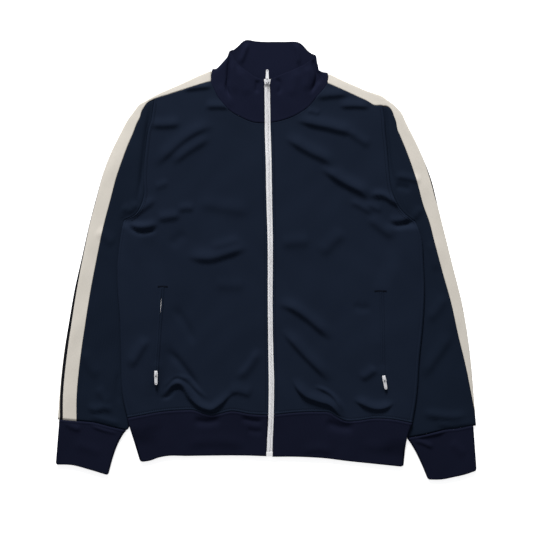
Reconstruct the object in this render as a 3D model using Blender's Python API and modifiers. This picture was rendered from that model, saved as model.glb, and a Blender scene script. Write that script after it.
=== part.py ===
"""A track jacket laid flat on its back, zipped up, with its sleeves along its sides.

The back lies on the floor (z = 0) with the two fronts on it. Each sleeve is a flattened tube
whose inner edge is tucked under the body. Cream bands run from the neck over the shoulders and
down the sleeves. Collar, cuffs and hem are rib knit. Tables are in millimetres: x is to the
viewer's right, y is up the garment, and "out" is the distance from the middle, outwards.
Sides are the wearer's, so the right side has negative x.
"""
import math

import bmesh
import bpy
import numpy as np
from mathutils import Vector
from mathutils.bvhtree import BVHTree

MM = 0.001

# Walls and gaps
CLOTH = 1.3              # wall of the knit cloth
RIB = 2.2                # wall of the rib knit
SEAM = 0.3               # gap between two pieces that are sewn together
BAND_SEAM = 0.7          # the same, between strips that go round a folded edge
CLEAR = 0.8              # gap between two layers that lie on each other

# Heights of a top layer's middle over the middle of the layer below it
FOLD_RISE = 2.5          # where the cloth is folded over at an edge
INNER_RISE = 4.3         # away from the edges
EDGE_FALL = 10.0         # how far from an edge the rise settles
SIDE_PRESS = 0.7         # the fronts come down to the back at the side seams
RIB_RISE = 3.1           # the same as FOLD_RISE, for the rib
RIB_SWELL = 0.8          # how much higher the rib's middle is than its edges

# Side bands
BAND = 26.0              # width of a cream band
PIPING = 4.0             # width of the navy strip between a front and a back band
SLEEVE_START = {"right": 110.0, "left": 102.0}   # the armhole seam, from the neck
YOKE = 38.0              # depth of the sleeve's front that is built with the bands
YOKE_BACK = 3.0          # the same behind, past the back band
BACK_BAND_SEAM = 1.2     # gap between a sleeve and its back band
NECK_LEAN = 42.0         # direction of the back neck seam at the shoulder, as the table's lean
NECK_REACH = 45.0        # how far along the shoulder that direction fades

# Body over sleeve
TUCK_RAMP = 40.0         # width of the slope beside the sleeve's hidden edge
TUCK_MARGIN = 26.0       # how far past that edge the body is still fully raised
BODY_LIFT = CLOTH + FOLD_RISE + CLEAR

# Zip
ZIP_HALF = 5.7           # half the width of the closed zip
ZIP_WALL = 1.6
ZIP_TOP = 323.0
ZIP_BOTTOM = -344.5
ZIP_BOX = (11.4, 8.0, 3.6)
ZIP_BOX_AT = (6.0, -349.0)

# Outer edge of shoulder and sleeve, from the neck to the cuff. band is the distance from this
# edge, along the cloth, to the front band's inner edge. lean is the direction of the cloth's
# rows across the band, in degrees from straight down, towards the middle of the garment.
FOLD_LINE = {
    "right": [  # out, up, band, lean
        (99.4, 339.7, 18.4, 0), (119.2, 331.6, 16.2, 0), (159.4, 313.2, 11.2, -4),
        (199.0, 293.6, 4.6, -10), (214.6, 286.7, 3.2, -1), (227.2, 279.9, 12.6, 12),
        (246.7, 254.7, 19.6, 31), (260.5, 229.5, 22.0, 42), (276.6, 197.3, 24.6, 52),
        (292.6, 155.9, 25.6, 61), (304.1, 114.7, 26.0, 67), (315.6, 71.5, 26.0, 71),
        (331.3, 2.0, 27.0, 75), (343.9, -53.5, 29.0, 78), (354.0, -111.6, 30.0, 80),
        (362.8, -164.7, 31.0, 82), (371.8, -250.6, 32.0, 84), (374.5, -287.0, 33.0, 84.7)],
    "left": [
        (112.8, 334.3, 17.0, 8), (142.5, 320.0, 16.4, 4), (179.2, 304.0, 17.8, -3),
        (192.9, 299.3, 20.0, -6), (206.6, 294.6, 15.7, -8), (217.0, 287.6, 10.8, 0),
        (227.4, 279.9, 11.2, 8), (241.3, 266.2, 18.0, 22),
        (252.6, 243.2, 20.4, 36), (271.0, 206.5, 23.0, 49), (284.9, 174.2, 24.2, 58),
        (296.4, 142.2, 25.2, 65), (305.6, 105.7, 24.6, 70), (314.4, 71.5, 22.5, 73),
        (322.3, 40.2, 22.0, 75), (336.7, -17.8, 21.0, 78), (351.1, -75.2, 19.5, 80),
        (361.2, -132.7, 17.0, 81), (368.2, -189.9, 10.3, 81), (373.4, -252.5, 3.0, 80),
        (377.0, -298.0, -3.0, 79.6)],
}

# Armhole seam below the yoke, down to the armpit: out, up
ARMHOLE = {
    "right": [(211, 226), (214, 205), (217, 183), (219, 145), (222, 110), (235, 86), (256, 70)],
    "left": [(214, 228), (216.5, 208), (218, 190), (221, 156), (225, 126), (232, 106), (247, 84),
             (269, 67)],
}

# Side of the body, from the armpit to the hem seam: out, up
SIDE = {
    "right": [(256, 70), (263, 30), (267, -8), (267, -46), (263, -109), (261, -172), (257, -251),
              (249, -285)],
    "left": [(269, 67), (279, 37), (282, -3), (284, -61), (281, -118), (275, -176), (269, -253),
             (262, -294)],
}

# Inner edge of the sleeve: beside the body, then tucked under it, then beside it again.
# in_by is how far it lies inside the side of the body.
TUCK = {
    "right": [  # up, in_by
        (70, -1.6), (24, -1.8), (-5, 12.0), (-50, 34.0), (-150, 34.0), (-210, 16.0),
        (-245, -2.4), (-300, -2.8)],
    "left": [
        (67, -1.6), (22, -1.8), (-5, 12.0), (-50, 34.0), (-150, 34.0), (-210, 16.0),
        (-250, -2.4), (-325, -2.8)],
}

# Hem seam and the lower edge of the hem rib, from the zip to the side: out, up
HEM_SEAM = {
    "right": [(-0.5, -280), (29, -278), (65, -273), (82, -277), (99, -280), (113, -277),
              (130, -271), (151, -271), (190, -274), (224, -280), (249, -285)],
    "left": [(16, -279), (57, -275), (92, -274), (116, -276), (127, -283), (142, -290),
             (164, -290), (192, -286), (225, -287), (262, -294)],
}
HEM_EDGE = {
    "right": [(0, -353), (29, -352), (142, -353), (179, -354), (195, -359), (223, -363)],
    "left": [(12, -354), (57, -354), (109, -357), (140, -361), (197, -367), (242, -372)],
}

# Cuffs, from the outer to the inner edge of the sleeve: out, up
CUFF = {
    "right": {"seam": [(374.5, -287.3), (342, -290.3), (311, -293.2), (280, -299.5), (250.5, -304)],
              "edge": [(377.6, -368), (349, -369), (318, -376), (282, -383)]},
    "left": {"seam": [(377, -298.3), (345, -304.2), (314, -309.9), (285, -316), (258, -320.5)],
             "edge": [(377.5, -379), (357, -386), (335, -391), (317, -394.6), (292, -395)]},
}

# Collar, from the zip's right side round the back to its left side: the neck seam, the middle
# and the top edge of each section
COLLAR = [
    # seam x, y, z        middle x, y, z        top x, y, z
    (-3.4, 246, 5.2,      -4.1, 285, 6.0,      -4.7, 323, 6.6),
    (-24, 248, 5.2,       -21, 288, 6.0,       -17, 327, 6.6),
    (-46, 257, 5.2,       -41, 299, 6.0,       -34, 338, 6.6),
    (-66, 269, 5.1,       -59, 312, 5.9,       -48, 349, 6.5),
    (-84, 289, 4.9,       -72, 326, 5.6,       -56, 359, 6.2),
    (-95, 311, 4.6,       -82, 340, 5.2,       -60, 366, 5.8),
    (-98.3, 326, 3.4,     -84, 346, 3.5,       -62, 370, 4.0),
    (-94.3, 336.8, 1.9,   -82.5, 348, 1.9,     -60.5, 374, 2.1),
    (-84.5, 324.3, 1.2,   -72, 348, 1.2,       -51, 384, 1.2),
    (-66, 309, 1.11,       -54, 350, 1.11,       -37, 395, 1.11),
    (-33, 300.5, 1.11,     -25, 348, 1.11,       -18, 393, 1.11),
    (0, 298, 1.11,         0, 346, 1.11,         0, 392, 1.11),
    (36, 299.5, 1.11,      34, 346, 1.11,        30, 392, 1.11),
    (76, 308, 1.11,        68, 346, 1.11,        58, 391, 1.11),
    (95.5, 320, 1.2,      88, 345, 1.2,        75, 376, 1.2),
    (108.5, 330, 1.9,     96, 343, 1.9,        85, 366, 2.1),
    (110.5, 321, 3.4,     97, 341, 3.5,        86, 361, 4.0),
    (105, 309, 4.6,       92, 334, 5.2,        82, 359, 5.8),
    (91, 293, 4.9,        81, 322, 5.6,        74, 354, 6.2),
    (74, 274, 5.1,        66, 309, 5.9,        62, 347, 6.5),
    (52, 260, 5.2,        47, 300, 6.0,        44, 339, 6.6),
    (28, 251, 5.2,        26, 289, 6.0,        24, 331, 6.6),
    (8.9, 247, 5.2,       8.3, 286, 6.0,       7.7, 323, 6.6),
]

# Middle of the zip: x at y
ZIP_LINE = [(1.5, 323), (1.8, 300), (2.4, 268), (3.2, 220), (5.1, 143), (7.3, 35), (8.7, -73),
            (10.0, -180), (10.2, -217), (9.1, -280), (6.4, -340), (5.9, -353)]

# Largest folds of the top layer: height, reach to each side, and the line that it follows
FOLDS = [
    (3.0, 9, [(-241, 70), (-226, 88), (-213, 104)]),
    (-1.4, 6, [(-250, 64), (-231, 50), (-211, 53), (-193, 57)]),
    (2.0, 13, [(-185, 80), (-160, 94), (-136, 103)]),
    (1.6, 11, [(-200, 170), (-160, 197), (-119, 221)]),
    (1.4, 10, [(-168, 174), (-130, 200), (-96, 221)]),
    (2.0, 10, [(-142, 5), (-105, 0), (-70, 8), (-34, 21)]),
    (1.2, 13, [(-119, 98), (-70, 94), (-24, 86)]),
    (5.0, 9, [(-190, -237), (-172, -223), (-155, -217), (-138, -231), (-118, -253), (-96, -268),
              (-78, -258), (-62, -243), (-45, -229)]),
    (2.4, 13, [(-173, -162), (-155, -182), (-137, -204)]),
    (2.0, 10, [(-34, -211), (-20, -190), (-8, -168)]),
    (1.8, 11, [(-240, -180), (-228, -160), (-218, -140)]),
    (1.6, 10, [(61, 248), (110, 240), (156, 230)]),
    (3.0, 9, [(38, 212), (97, 179), (112, 149), (156, 121), (186, 106), (205, 111), (228, 99)]),
    (-1.4, 6, [(230, 60), (250, 66), (266, 66)]),
    (2.0, 13, [(151, 95), (187, 53), (228, 30)]),
    (1.8, 13, [(61, -13), (97, 12), (133, 41)]),
    (1.6, 11, [(25, -82), (61, -103), (110, -139)]),
    (2.0, 13, [(30, -132), (66, -172), (102, -217)]),
    (4.5, 9, [(80, -233), (100, -241), (113, -250), (124, -264), (132, -280)]),
    (4.0, 9, [(168, -256), (185, -268), (203, -273), (222, -266), (236, -256)]),
    (2.5, 8, [(-325, -268), (-300, -274), (-277, -276)]),
    (2.0, 9, [(-302, -222), (-292, -245), (-281, -268)]),
    (3.0, 11, [(286, -208), (308, -172), (331, -139)]),
    (2.5, 8, [(284, -278), (325, -283), (360, -284)]),
    (1.5, 9, [(230, 149), (248, 147), (266, 143)]),
]

# Zipped pockets: the slit from top to bottom and the slider's middle as x, y, and the direction
# of the slider and pull, in degrees anticlockwise from up the garment
POCKET = {
    "right": {"top": (-187.0, -53.0), "bottom": (-197.0, -199.0), "slider": (-197.6, -204.5), "turn": 180.5},
    "left": {"top": (207.5, -60.0), "bottom": (210.0, -205.0), "slider": (211.6, -213.0), "turn": 190.0},
}
WELT = {"width": 9.0, "wall": 0.8, "slot": 3.4, "end": 6.0}
POCKET_ZIP = {"width": 2.4, "wall": 0.7}
LAID_ON = 0.5            # gap under a strip that lies on a front

# Sliders and pulls. y is along the zip, and a pull points to +y from its pivot.
SLIDER = {
    "zip": {"size": (12.6, 9.6, 1.9), "tail": 0.72, "place": (2.0, 319.2)},
    "pocket": {"size": (6.8, 10.4, 1.7), "tail": 0.8},
}
BRIDGE = (2.2, 6.4, 3.9)     # the arch that holds the pull, over the slider's face
BRIDGE_WALL = 1.0
PIVOT_HEIGHT = 1.45          # of the pull's pivot over the slider's face
PULL_WALL = 1.4
PULL = {
    "zip": {"width": [(-0.7, 5.2), (1.5, 6.2), (6.5, 6.0), (13.0, 5.0), (19.5, 4.8)], "droop": 5.0},
    "pocket": {"width": [(-0.7, 5.0), (1.5, 5.8), (7.0, 5.4), (12.0, 5.8), (17.5, 5.2)], "droop": 4.0},
}
PULL_BAR = 0.7               # from the pivot to the near side of the pull's window
PULL_EYE = (3.2, 5.4)        # the window's width, and from the pivot to its far side
PULL_HOLE = 2.0              # the round hole near the pull's end

# Counts of cells
SHOULDER_ROWS = 6
SLEEVE_ROWS = 15
FRONT_COLUMNS = 14
BACK_COLUMNS = 18
SIDE_ROWS = 15
ARMHOLE_ROWS = 6
ARMPIT_ROWS = 4.5        # spacing, in mm, of the sleeve's rows at the armpit
ARC = (60.0, 0.0, -60.0)  # angles of the points round a folded edge

NAVY = (0.0095, 0.0130, 0.0250, 1.0)
RIB_NAVY = (0.0100, 0.0115, 0.0240, 1.0)
CREAM = (0.640, 0.560, 0.470, 1.0)
ZIP_WHITE = (0.660, 0.650, 0.670, 1.0)
METAL_WHITE = (0.760, 0.760, 0.780, 1.0)


# ---------------------------------------------------------------- curves and distances

def smooth(table, at=None, count=None):
    """Points on a smooth curve through the rows of a table, by distance along its first two
    columns. Without places, count points are spread evenly."""
    rows = np.array(table, float)
    steps = np.hypot(*np.diff(rows[:, :2], axis=0).T)
    knots = np.concatenate([[0.0], np.cumsum(steps)])
    slopes = np.gradient(rows, knots, axis=0)
    if at is None:
        at = np.linspace(0.0, knots[-1], count)
    at = np.asarray(at, float)
    cell = np.clip(np.searchsorted(knots, at, side="right") - 1, 0, len(knots) - 2)
    span = knots[cell + 1] - knots[cell]
    t = (at - knots[cell]) / span
    t, span = t[:, None], span[:, None]
    return ((2 * t**3 - 3 * t**2 + 1) * rows[cell] + (t**3 - 2 * t**2 + t) * span * slopes[cell]
            + (3 * t**2 - 2 * t**3) * rows[cell + 1] + (t**3 - t**2) * span * slopes[cell + 1])


def length_of(table):
    rows = np.array(table, float)
    return float(np.hypot(*np.diff(rows[:, :2], axis=0).T).sum())


def step(value):
    """0 below 0, 1 above 1, and smooth between."""
    t = np.clip(value, 0.0, 1.0)
    return t * t * (3 - 2 * t)


def nearest(plan, line):
    """Distance from each plan point to a line, and how far along it the nearest point is, 0 to 1."""
    line = np.array(line, float)[:, :2]
    legs = np.diff(line, axis=0)
    lengths = np.hypot(*legs.T)
    starts = np.concatenate([[0.0], np.cumsum(lengths)])
    best = np.full(plan.shape[:-1], np.inf)
    along = np.zeros(plan.shape[:-1])
    for start, leg, length, base in zip(line[:-1], legs, lengths, starts[:-1]):
        t = np.clip(((plan - start) @ leg) / length**2, 0.0, 1.0)
        away = plan - start - t[..., None] * leg
        distance = np.hypot(away[..., 0], away[..., 1])
        closer = distance < best
        best = np.where(closer, distance, best)
        along = np.where(closer, (base + t * length) / starts[-1], along)
    return best, along


def coons(bottom, top, left, right):
    """Plan points inside four edges: bottom and top run left to right, the others upwards."""
    u = np.linspace(0.0, 1.0, len(bottom))[None, :, None]
    v = np.linspace(0.0, 1.0, len(left))[:, None, None]
    ruled = (1 - v) * bottom[None] + v * top[None] + (1 - u) * left[:, None] + u * right[:, None]
    corners = ((1 - u) * (1 - v) * bottom[0] + u * (1 - v) * bottom[-1]
               + (1 - u) * v * top[0] + u * v * top[-1])
    return ruled - corners


def inset(line, gap):
    """A plan line moved sideways, to the left of its own direction."""
    run = np.gradient(line, axis=0)
    run /= np.hypot(run[:, 0], run[:, 1])[:, None]
    return line + gap * np.stack([-run[:, 1], run[:, 0]], axis=1)


# ---------------------------------------------------------------- the garment's heights

SIGN = {"right": -1.0, "left": 1.0}
FOLD_EDGE = {side: smooth(FOLD_LINE[side], count=90) for side in SIGN}
SIDE_CURVE = {side: smooth(SIDE[side], count=80)[::-1] for side in SIGN}


def side_out(side, up):
    curve = SIDE_CURVE[side]
    return np.interp(up, curve[:, 1], curve[:, 0])


def tuck_out(side, up):
    rows = np.array(TUCK[side][::-1], float)
    return side_out(side, up) - np.interp(up, rows[:, 0], rows[:, 1])


def side_distance(side, out, up):
    """Distance from the side of the body, or from the armpit above it."""
    armpit = SIDE[side][0]
    beside = np.abs(out - side_out(side, up))
    return np.where(up < armpit[1], beside, np.hypot(out - armpit[0], up - armpit[1]))


def folds(x, y):
    """Height that the main folds add to the top layer."""
    total = np.zeros_like(x)
    plan = np.stack([x, y], axis=-1)
    for height, reach, line in FOLDS:
        distance, along = nearest(plan, line)
        ends = step(along / 0.3) * step((1 - along) / 0.3)
        total += height * ends * np.exp(-(distance / reach) ** 2)
    return total


def lift(side, out, up):
    """How far the body is raised by the sleeve that is tucked under it."""
    armpit, hem = TUCK[side][0][0], TUCK[side][-2][0]
    inner = tuck_out(side, up) - TUCK_MARGIN
    across = step((out - inner) / TUCK_RAMP + 1.0)
    upper = step((armpit - up) / 25.0)
    lower = step((up - hem + 35.0) / 25.0)
    return BODY_LIFT * across * upper * lower


def raised(x, y):
    return np.where(x < 0, lift("right", -x, y), lift("left", x, y))


def rise(x, y):
    """Height of the top layer's middle over the bottom layer's, with its folds."""
    total = np.full_like(x, INNER_RISE)
    drop = INNER_RISE - FOLD_RISE
    for side, sign in SIGN.items():
        plan = np.stack([sign * x, y], axis=-1)
        mine = sign * x > 0
        edge = np.maximum(nearest(plan, FOLD_EDGE[side])[0] - FOLD_RISE / 2, 0.0)
        near = np.exp(-edge / EDGE_FALL)
        near = near + np.exp(-side_distance(side, sign * x, y) / EDGE_FALL)
        total -= np.where(mine, drop * np.minimum(near, 1.0), 0.0)
    return total + folds(x, y) * step((total - FOLD_RISE) / drop)


def front_height(x, y):
    """Middle of the fronts' cloth."""
    press = np.zeros_like(x)
    for side, sign in SIGN.items():
        close = np.exp(-side_distance(side, sign * x, y) / 5.0)
        below = step((SIDE[side][0][1] - y) / 40.0)
        press += np.where(sign * x > 0, SIDE_PRESS * close * below, 0.0)
    return CLOTH / 2 + raised(x, y) + rise(x, y) - press


def sleeve_height(side, out, up):
    """Middle of the sleeve's top cloth, which is pressed flat where the body lies on it."""
    high = rise(SIGN[side] * out, up)
    hidden = (out < side_out(side, up)) & (up < SIDE[side][0][1])
    return CLOTH / 2 + np.where(hidden, FOLD_RISE, high)


# ---------------------------------------------------------------- objects

jacket = bpy.data.collections.new("track_jacket")


def material(name, colour, roughness, metallic=0.0):
    made = bpy.data.materials.new(name)
    made.use_nodes = True
    shader = made.node_tree.nodes["Principled BSDF"]
    shader.inputs["Base Color"].default_value = colour
    shader.inputs["Roughness"].default_value = roughness
    shader.inputs["Metallic"].default_value = metallic
    return made


def add(name, mesh, finish):
    part = bpy.data.objects.new(name, mesh)
    jacket.objects.link(part)
    mesh.materials.append(finish)
    return part


def grid_mesh(name, grid, loop=False):
    """A mesh of four-sided cells through a grid of points in millimetres, smooth shaded. With
    loop, the last column joins the first."""
    rows, columns = grid.shape[:2]
    made = bmesh.new()
    points = [[made.verts.new(place * MM) for place in row] for row in grid]
    for j in range(rows - 1):
        for i in range(columns if loop else columns - 1):
            k = (i + 1) % columns
            made.faces.new((points[j][i], points[j][k], points[j + 1][k], points[j + 1][i]))
    bmesh.ops.recalc_face_normals(made, faces=made.faces)
    mesh = bpy.data.meshes.new(name)
    made.to_mesh(mesh)
    made.free()
    mesh.shade_smooth()
    return mesh


def cloth(name, grid, wall, finish, loop=False):
    """A wall of cloth round the grid, which is its middle."""
    part = add(name, grid_mesh(name, grid, loop), finish)
    shell = part.modifiers.new("wall", "SOLIDIFY")
    shell.thickness = wall * MM
    shell.offset = 0.0
    return part


def stack(plan, height):
    return np.concatenate([plan, height[..., None]], axis=-1)


def fold_over(upper, lower, outward):
    """Columns of points round a folded edge, from the upper layer's last column to the lower
    layer's first, which lie over each other, and the directions in which they face."""
    radius = (upper[:, 2] - lower[:, 2])[:, None] / 2
    middle = (upper + lower) / 2
    points, facing = [], []
    for angle in np.radians(ARC):
        level = np.full((len(middle), 1), math.sin(angle))
        way = np.concatenate([outward * math.cos(angle), level], axis=1)
        points.append(middle + way * radius)
        facing.append(way)
    return np.stack(points, axis=1), np.stack(facing, axis=1)


def arc_of(height):
    """Length of the quarter turn from an edge's middle to its top."""
    return math.pi / 4 * height


# ---------------------------------------------------------------- strip beside the fold line

def loft(name, middle, facing, wall, finish):
    """A wall of cloth whose sides lie half its thickness to each side of the middle, along the
    directions in facing. Its rows are closed sections, joined to each other and capped."""
    outer, inner = middle + facing * wall / 2, middle - facing * wall / 2
    sections = np.concatenate([outer, inner[:, ::-1]], axis=1)
    rows, points = sections.shape[:2]
    made = bmesh.new()
    rings = [[made.verts.new(place * MM) for place in section] for section in sections]
    for low, high in zip(rings[:-1], rings[1:]):
        for i in range(points):
            k = (i + 1) % points
            made.faces.new((low[i], low[k], high[k], high[i]))
    for ring in (rings[0], rings[-1]):
        for i in range(points // 2 - 1):
            made.faces.new((ring[i], ring[i + 1], ring[points - 2 - i], ring[points - 1 - i]))
    bmesh.ops.recalc_face_normals(made, faces=made.faces)
    if made.calc_volume(signed=True) < 0:
        bmesh.ops.reverse_faces(made, faces=made.faces)
    mesh = bpy.data.meshes.new(name)
    made.to_mesh(mesh)
    made.free()
    mesh.shade_smooth()
    mesh.set_sharp_from_angle(angle=math.radians(50.0))
    add(name, mesh, finish)


def strip_frame(side):
    """Rows along the outer edge: out, up, band, and the inward directions above and below. The
    band's distances are longer where the rows cross it aslant."""
    table = FOLD_LINE[side]
    total = length_of(table)
    start = SLEEVE_START[side]
    share = np.linspace(0.0, 1.0, SLEEVE_ROWS + 1)
    sleeve = start + (total - start) * (0.72 * share + 0.28 * share**2)
    places = np.concatenate([np.linspace(0.0, start, SHOULDER_ROWS + 1), sleeve[1:]])
    rows = smooth(table, at=places)
    before, after = smooth(table, at=places - 4.0), smooth(table, at=places + 4.0)
    run = after[:, :2] - before[:, :2]
    normal = np.degrees(np.arctan2(-run[:, 1], run[:, 0]))
    near_neck = np.clip(1 - places / NECK_REACH, 0.0, 1.0)
    inward, slant = {}, {}
    for layer, neck_lean in (("above", rows[:, 3]), ("below", NECK_LEAN)):
        lean = rows[:, 3] * (1 - near_neck) + neck_lean * near_neck
        turn = np.radians(lean)
        inward[layer] = np.stack([-np.sin(turn), -np.cos(turn)], axis=1)
        slant[layer] = 1 / np.cos(np.radians(np.clip(lean - normal, -40.0, 40.0)))
    return rows, inward, slant


def strip_columns(side, columns, rows=slice(None)):
    """Middle points of the cloth beside the outer edge, and the directions of its outer face.
    columns gives, for each row and column, the distance from the edge along the cloth: over 0
    above, under 0 below."""
    frame, inward, slant = strip_frame(side)
    frame = frame[rows]
    radius = FOLD_RISE / 2
    quarter = arc_of(FOLD_RISE)
    above = columns > 0
    away = np.abs(columns)
    angle = np.minimum(away, quarter) / radius
    flat = np.maximum(away - quarter, 0.0)
    flat *= np.where(above, slant["above"][rows][:, None], slant["below"][rows][:, None])
    depth = radius * (1 - np.cos(angle)) + flat
    direction = np.where(above[..., None], inward["above"][rows][:, None],
                         inward["below"][rows][:, None])
    plan = frame[:, None, :2] + direction * depth[..., None]
    top = sleeve_height(side, plan[..., 0], plan[..., 1])
    way = np.where(above, 1.0, -1.0)
    turning = CLOTH / 2 + radius + way * radius * np.sin(angle)
    height = np.where(away < quarter, turning, np.where(above, top, CLOTH / 2))
    out = -direction * np.cos(angle)[..., None]
    facing = np.concatenate([out, (way * np.sin(angle))[..., None]], axis=-1)
    return stack(plan, height), facing


def between(start, stop, count):
    """Columns from start to stop, which are numbers for each row, closer together where they
    go round the edge."""
    quarter = arc_of(FOLD_RISE)
    crowd = 5.0
    spread = [edge + crowd * np.clip(edge, -quarter, quarter) for edge in (start, stop)]
    share = np.linspace(0.0, 1.0, count)[None, :]
    wide = spread[0][:, None] * (1 - share) + spread[1][:, None] * share
    limit = quarter * (1 + crowd)
    return np.where(np.abs(wide) < limit, wide / (1 + crowd), wide - np.sign(wide) * crowd * quarter)


def on_side(side, points):
    """Points given as out, up, z as real x, y, z."""
    return points * np.array([SIGN[side], 1.0, 1.0])


def make_bands(side, cream, navy):
    rows, _, _ = strip_frame(side)
    band = rows[:, 2]
    gap = BAND_SEAM / 2
    edges = {
        "band_front": (band - gap, band - BAND + gap, 7, cream),
        "piping": (band - BAND - gap, band - BAND - PIPING + gap, 4, navy),
        "band_back": (band - BAND - PIPING - gap, band - 2 * BAND - PIPING + gap, 7, cream),
    }
    for name, (start, stop, count, finish) in edges.items():
        middle, facing = strip_columns(side, between(start, stop, count))
        loft(f"{name}_{side}", on_side(side, middle), on_side(side, facing), CLOTH, finish)


# ---------------------------------------------------------------- sleeves and cuffs

def armhole_line(side, start):
    """The armhole seam from its first point below the band down to the armpit."""
    below = [row for row in ARMHOLE[side] if row[1] < start[1] - 8.0]
    return smooth(np.vstack([start, below]), count=ARMHOLE_ROWS + 1)


def rungs(starts, ends, first, last):
    """Plan points of a wall of the sleeve: straight rows from starts to ends, which bend into
    the armhole seam, first, near the top, and into the cuff seam, last, at the bottom."""
    across = np.linspace(0.0, 1.0, len(first))[None, :, None]
    down = np.linspace(0.0, 1.0, len(starts))[:, None, None]
    straight = starts[:, None] * (1 - across) + ends[:, None] * across
    near_armhole = np.clip(1 - down / 0.15, 0.0, 1.0) ** 2
    near_cuff = np.clip(1 - (1 - down) / 0.3, 0.0, 1.0) ** 2
    return straight + (first - straight[0]) * near_armhole + (last - straight[-1]) * near_cuff


def make_sleeve(side, finish):
    """The sleeve round its inner edge, from the front band to the back band."""
    frame, _, _ = strip_frame(side)
    part = slice(SHOULDER_ROWS, None)
    band = frame[part, 2]
    count = len(band)
    edge = np.full(count, YOKE)
    top_strip, top_facing = strip_columns(side, between(band + BAND_SEAM / 2, edge, 3), part)
    back_band = band - 2 * BAND - PIPING - BACK_BAND_SEAM
    low_strip, low_facing = strip_columns(side, between(back_band - YOKE_BACK, back_band, 2), part)
    for strip in (top_strip, low_strip):
        strip[0, :, 0] += SEAM

    cuff_seam = smooth(CUFF[side]["seam"], count=30)
    armpit, wrist = SIDE[side][0][1], cuff_seam[-1, 1] + SEAM
    starts = top_strip[:, -1]
    across = starts[:, 0] - side_out(side, starts[:, 1])
    level = starts[:, 1] - across / np.tan(np.radians(np.maximum(frame[part, 3], 20.0)))
    ups = np.minimum(armpit - ARMPIT_ROWS * np.arange(count), level)
    ups += (wrist - ups[-1]) * np.clip(np.linspace(-1.5, 1.0, count), 0.0, 1.0)
    inner = np.stack([tuck_out(side, ups), ups], axis=1)
    inner[-1, 0] = cuff_seam[-1, 0]
    run = np.gradient(inner, axis=0)
    run /= np.hypot(run[:, 0], run[:, 1])[:, None]
    outward = np.stack([run[:, 1], -run[:, 0]], axis=1)
    outward[-1] = (cuff_seam[-1] - cuff_seam[-2]) / np.linalg.norm(cuff_seam[-1] - cuff_seam[-2])
    ends = inner - outward * FOLD_RISE / 2

    walls = []
    for starts in (top_strip[:, -1, :2], low_strip[:, 0, :2]):
        first = armhole_line(side, starts[0] - (SEAM, 0.0)) + (SEAM, 0.0)
        first[-1] = ends[0]
        reach = np.linspace(starts[-1, 0], ends[-1, 0], ARMHOLE_ROWS + 1)
        seam = np.interp(reach, cuff_seam[::-1, 0], cuff_seam[::-1, 1]) + SEAM
        last = np.stack([reach, seam], axis=1)
        last[0], last[-1] = starts[-1], ends[-1]
        walls.append(rungs(starts, ends, first, last))
    upper = stack(walls[0], sleeve_height(side, walls[0][..., 0], walls[0][..., 1]))
    upper[:, -1, 2] = CLOTH / 2 + FOLD_RISE
    lower = stack(walls[1][:, ::-1], np.full(walls[1].shape[:2], CLOTH / 2))
    turn, turn_facing = fold_over(upper[:, -1], lower[:, 0], outward)
    above = np.broadcast_to((0.0, 0.0, 1.0), upper.shape)
    middle = np.concatenate([top_strip[:, :-1], upper, turn, lower[:, :-1], low_strip], axis=1)
    facing = np.concatenate([top_facing[:, :-1], above, turn_facing, -above[:, :-1], low_facing], axis=1)
    loft(f"sleeve_{side}", on_side(side, middle), on_side(side, facing), CLOTH, finish)


def make_cuff(side, finish):
    rows, columns = 4, 7
    shape = CUFF[side]
    seam = smooth(shape["seam"], count=columns)
    seam[:, 1] -= SEAM
    edge = smooth(shape["edge"], count=columns)
    share = np.linspace(0.0, 1.0, rows)[:, None]
    outer = seam[0] + (edge[0] - seam[0]) * share
    inner = seam[-1] + (edge[-1] - seam[-1]) * share
    inner[1:-1, 0] += 2.0
    plan = coons(seam, edge, outer, inner)
    radius = RIB_RISE / 2
    across = plan[:, -1] - plan[:, 0]
    across /= np.hypot(across[:, 0], across[:, 1])[:, None]
    plan[:, 0] += across * radius
    plan[:, -1] -= across * radius
    swell = RIB_SWELL * np.sin(np.pi * np.linspace(0, 1, columns))[None, :]
    upper = stack(plan, RIB / 2 + RIB_RISE + np.repeat(swell, rows, axis=0))
    lower = stack(plan[:, ::-1], np.full(plan.shape[:2], RIB / 2))
    inner_turn, _ = fold_over(upper[:, -1], lower[:, 0], across)
    outer_turn, _ = fold_over(upper[:, 0], lower[:, -1], -across)
    grid = np.concatenate([upper, inner_turn, lower, outer_turn[:, ::-1]], axis=1)
    cloth(f"cuff_{side}", on_side(side, grid), RIB, finish, loop=True)


# ---------------------------------------------------------------- body

def zip_middle(y):
    rows = smooth(ZIP_LINE, count=60)[::-1]
    return np.interp(y, rows[:, 1], rows[:, 0])


def collar_seam(side):
    """The neck seam of one front, from the zip to the band, in out, up."""
    first, last = (0, 7) if side == "right" else (len(COLLAR) - 7, len(COLLAR))
    rows = np.array(COLLAR)[first:last, :2] * np.array([SIGN[side], 1.0])
    return rows if side == "right" else rows[::-1]


def shoulder_edge(side, above):
    """The line where the front or the back meets its cream band, from the neck to the armhole,
    and the armhole's first point below it."""
    frame, _, _ = strip_frame(side)
    rows = slice(0, SHOULDER_ROWS + 1)
    band = frame[rows, 2]
    edge = band + BAND_SEAM / 2 if above else band - 2 * BAND - PIPING - BAND_SEAM / 2
    depth = np.full(len(band), YOKE) if above else edge - YOKE_BACK
    columns = np.stack([edge, depth], axis=1)
    points, _ = strip_columns(side, columns, rows)
    return points[:, 0, :2], points[-1, 1, :2]


def body_edge(side, above):
    """The outer edge of the front or back, from the hem seam up to the shoulder band."""
    yoke, start = shoulder_edge(side, above)
    side_line = smooth(SIDE[side], count=SIDE_ROWS + 1)[::-1]
    seam = np.vstack([yoke[-1], (yoke[-1] + start) / 2, armhole_line(side, start)])[::-1]
    return np.vstack([side_line, seam[1:]]), yoke


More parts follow.
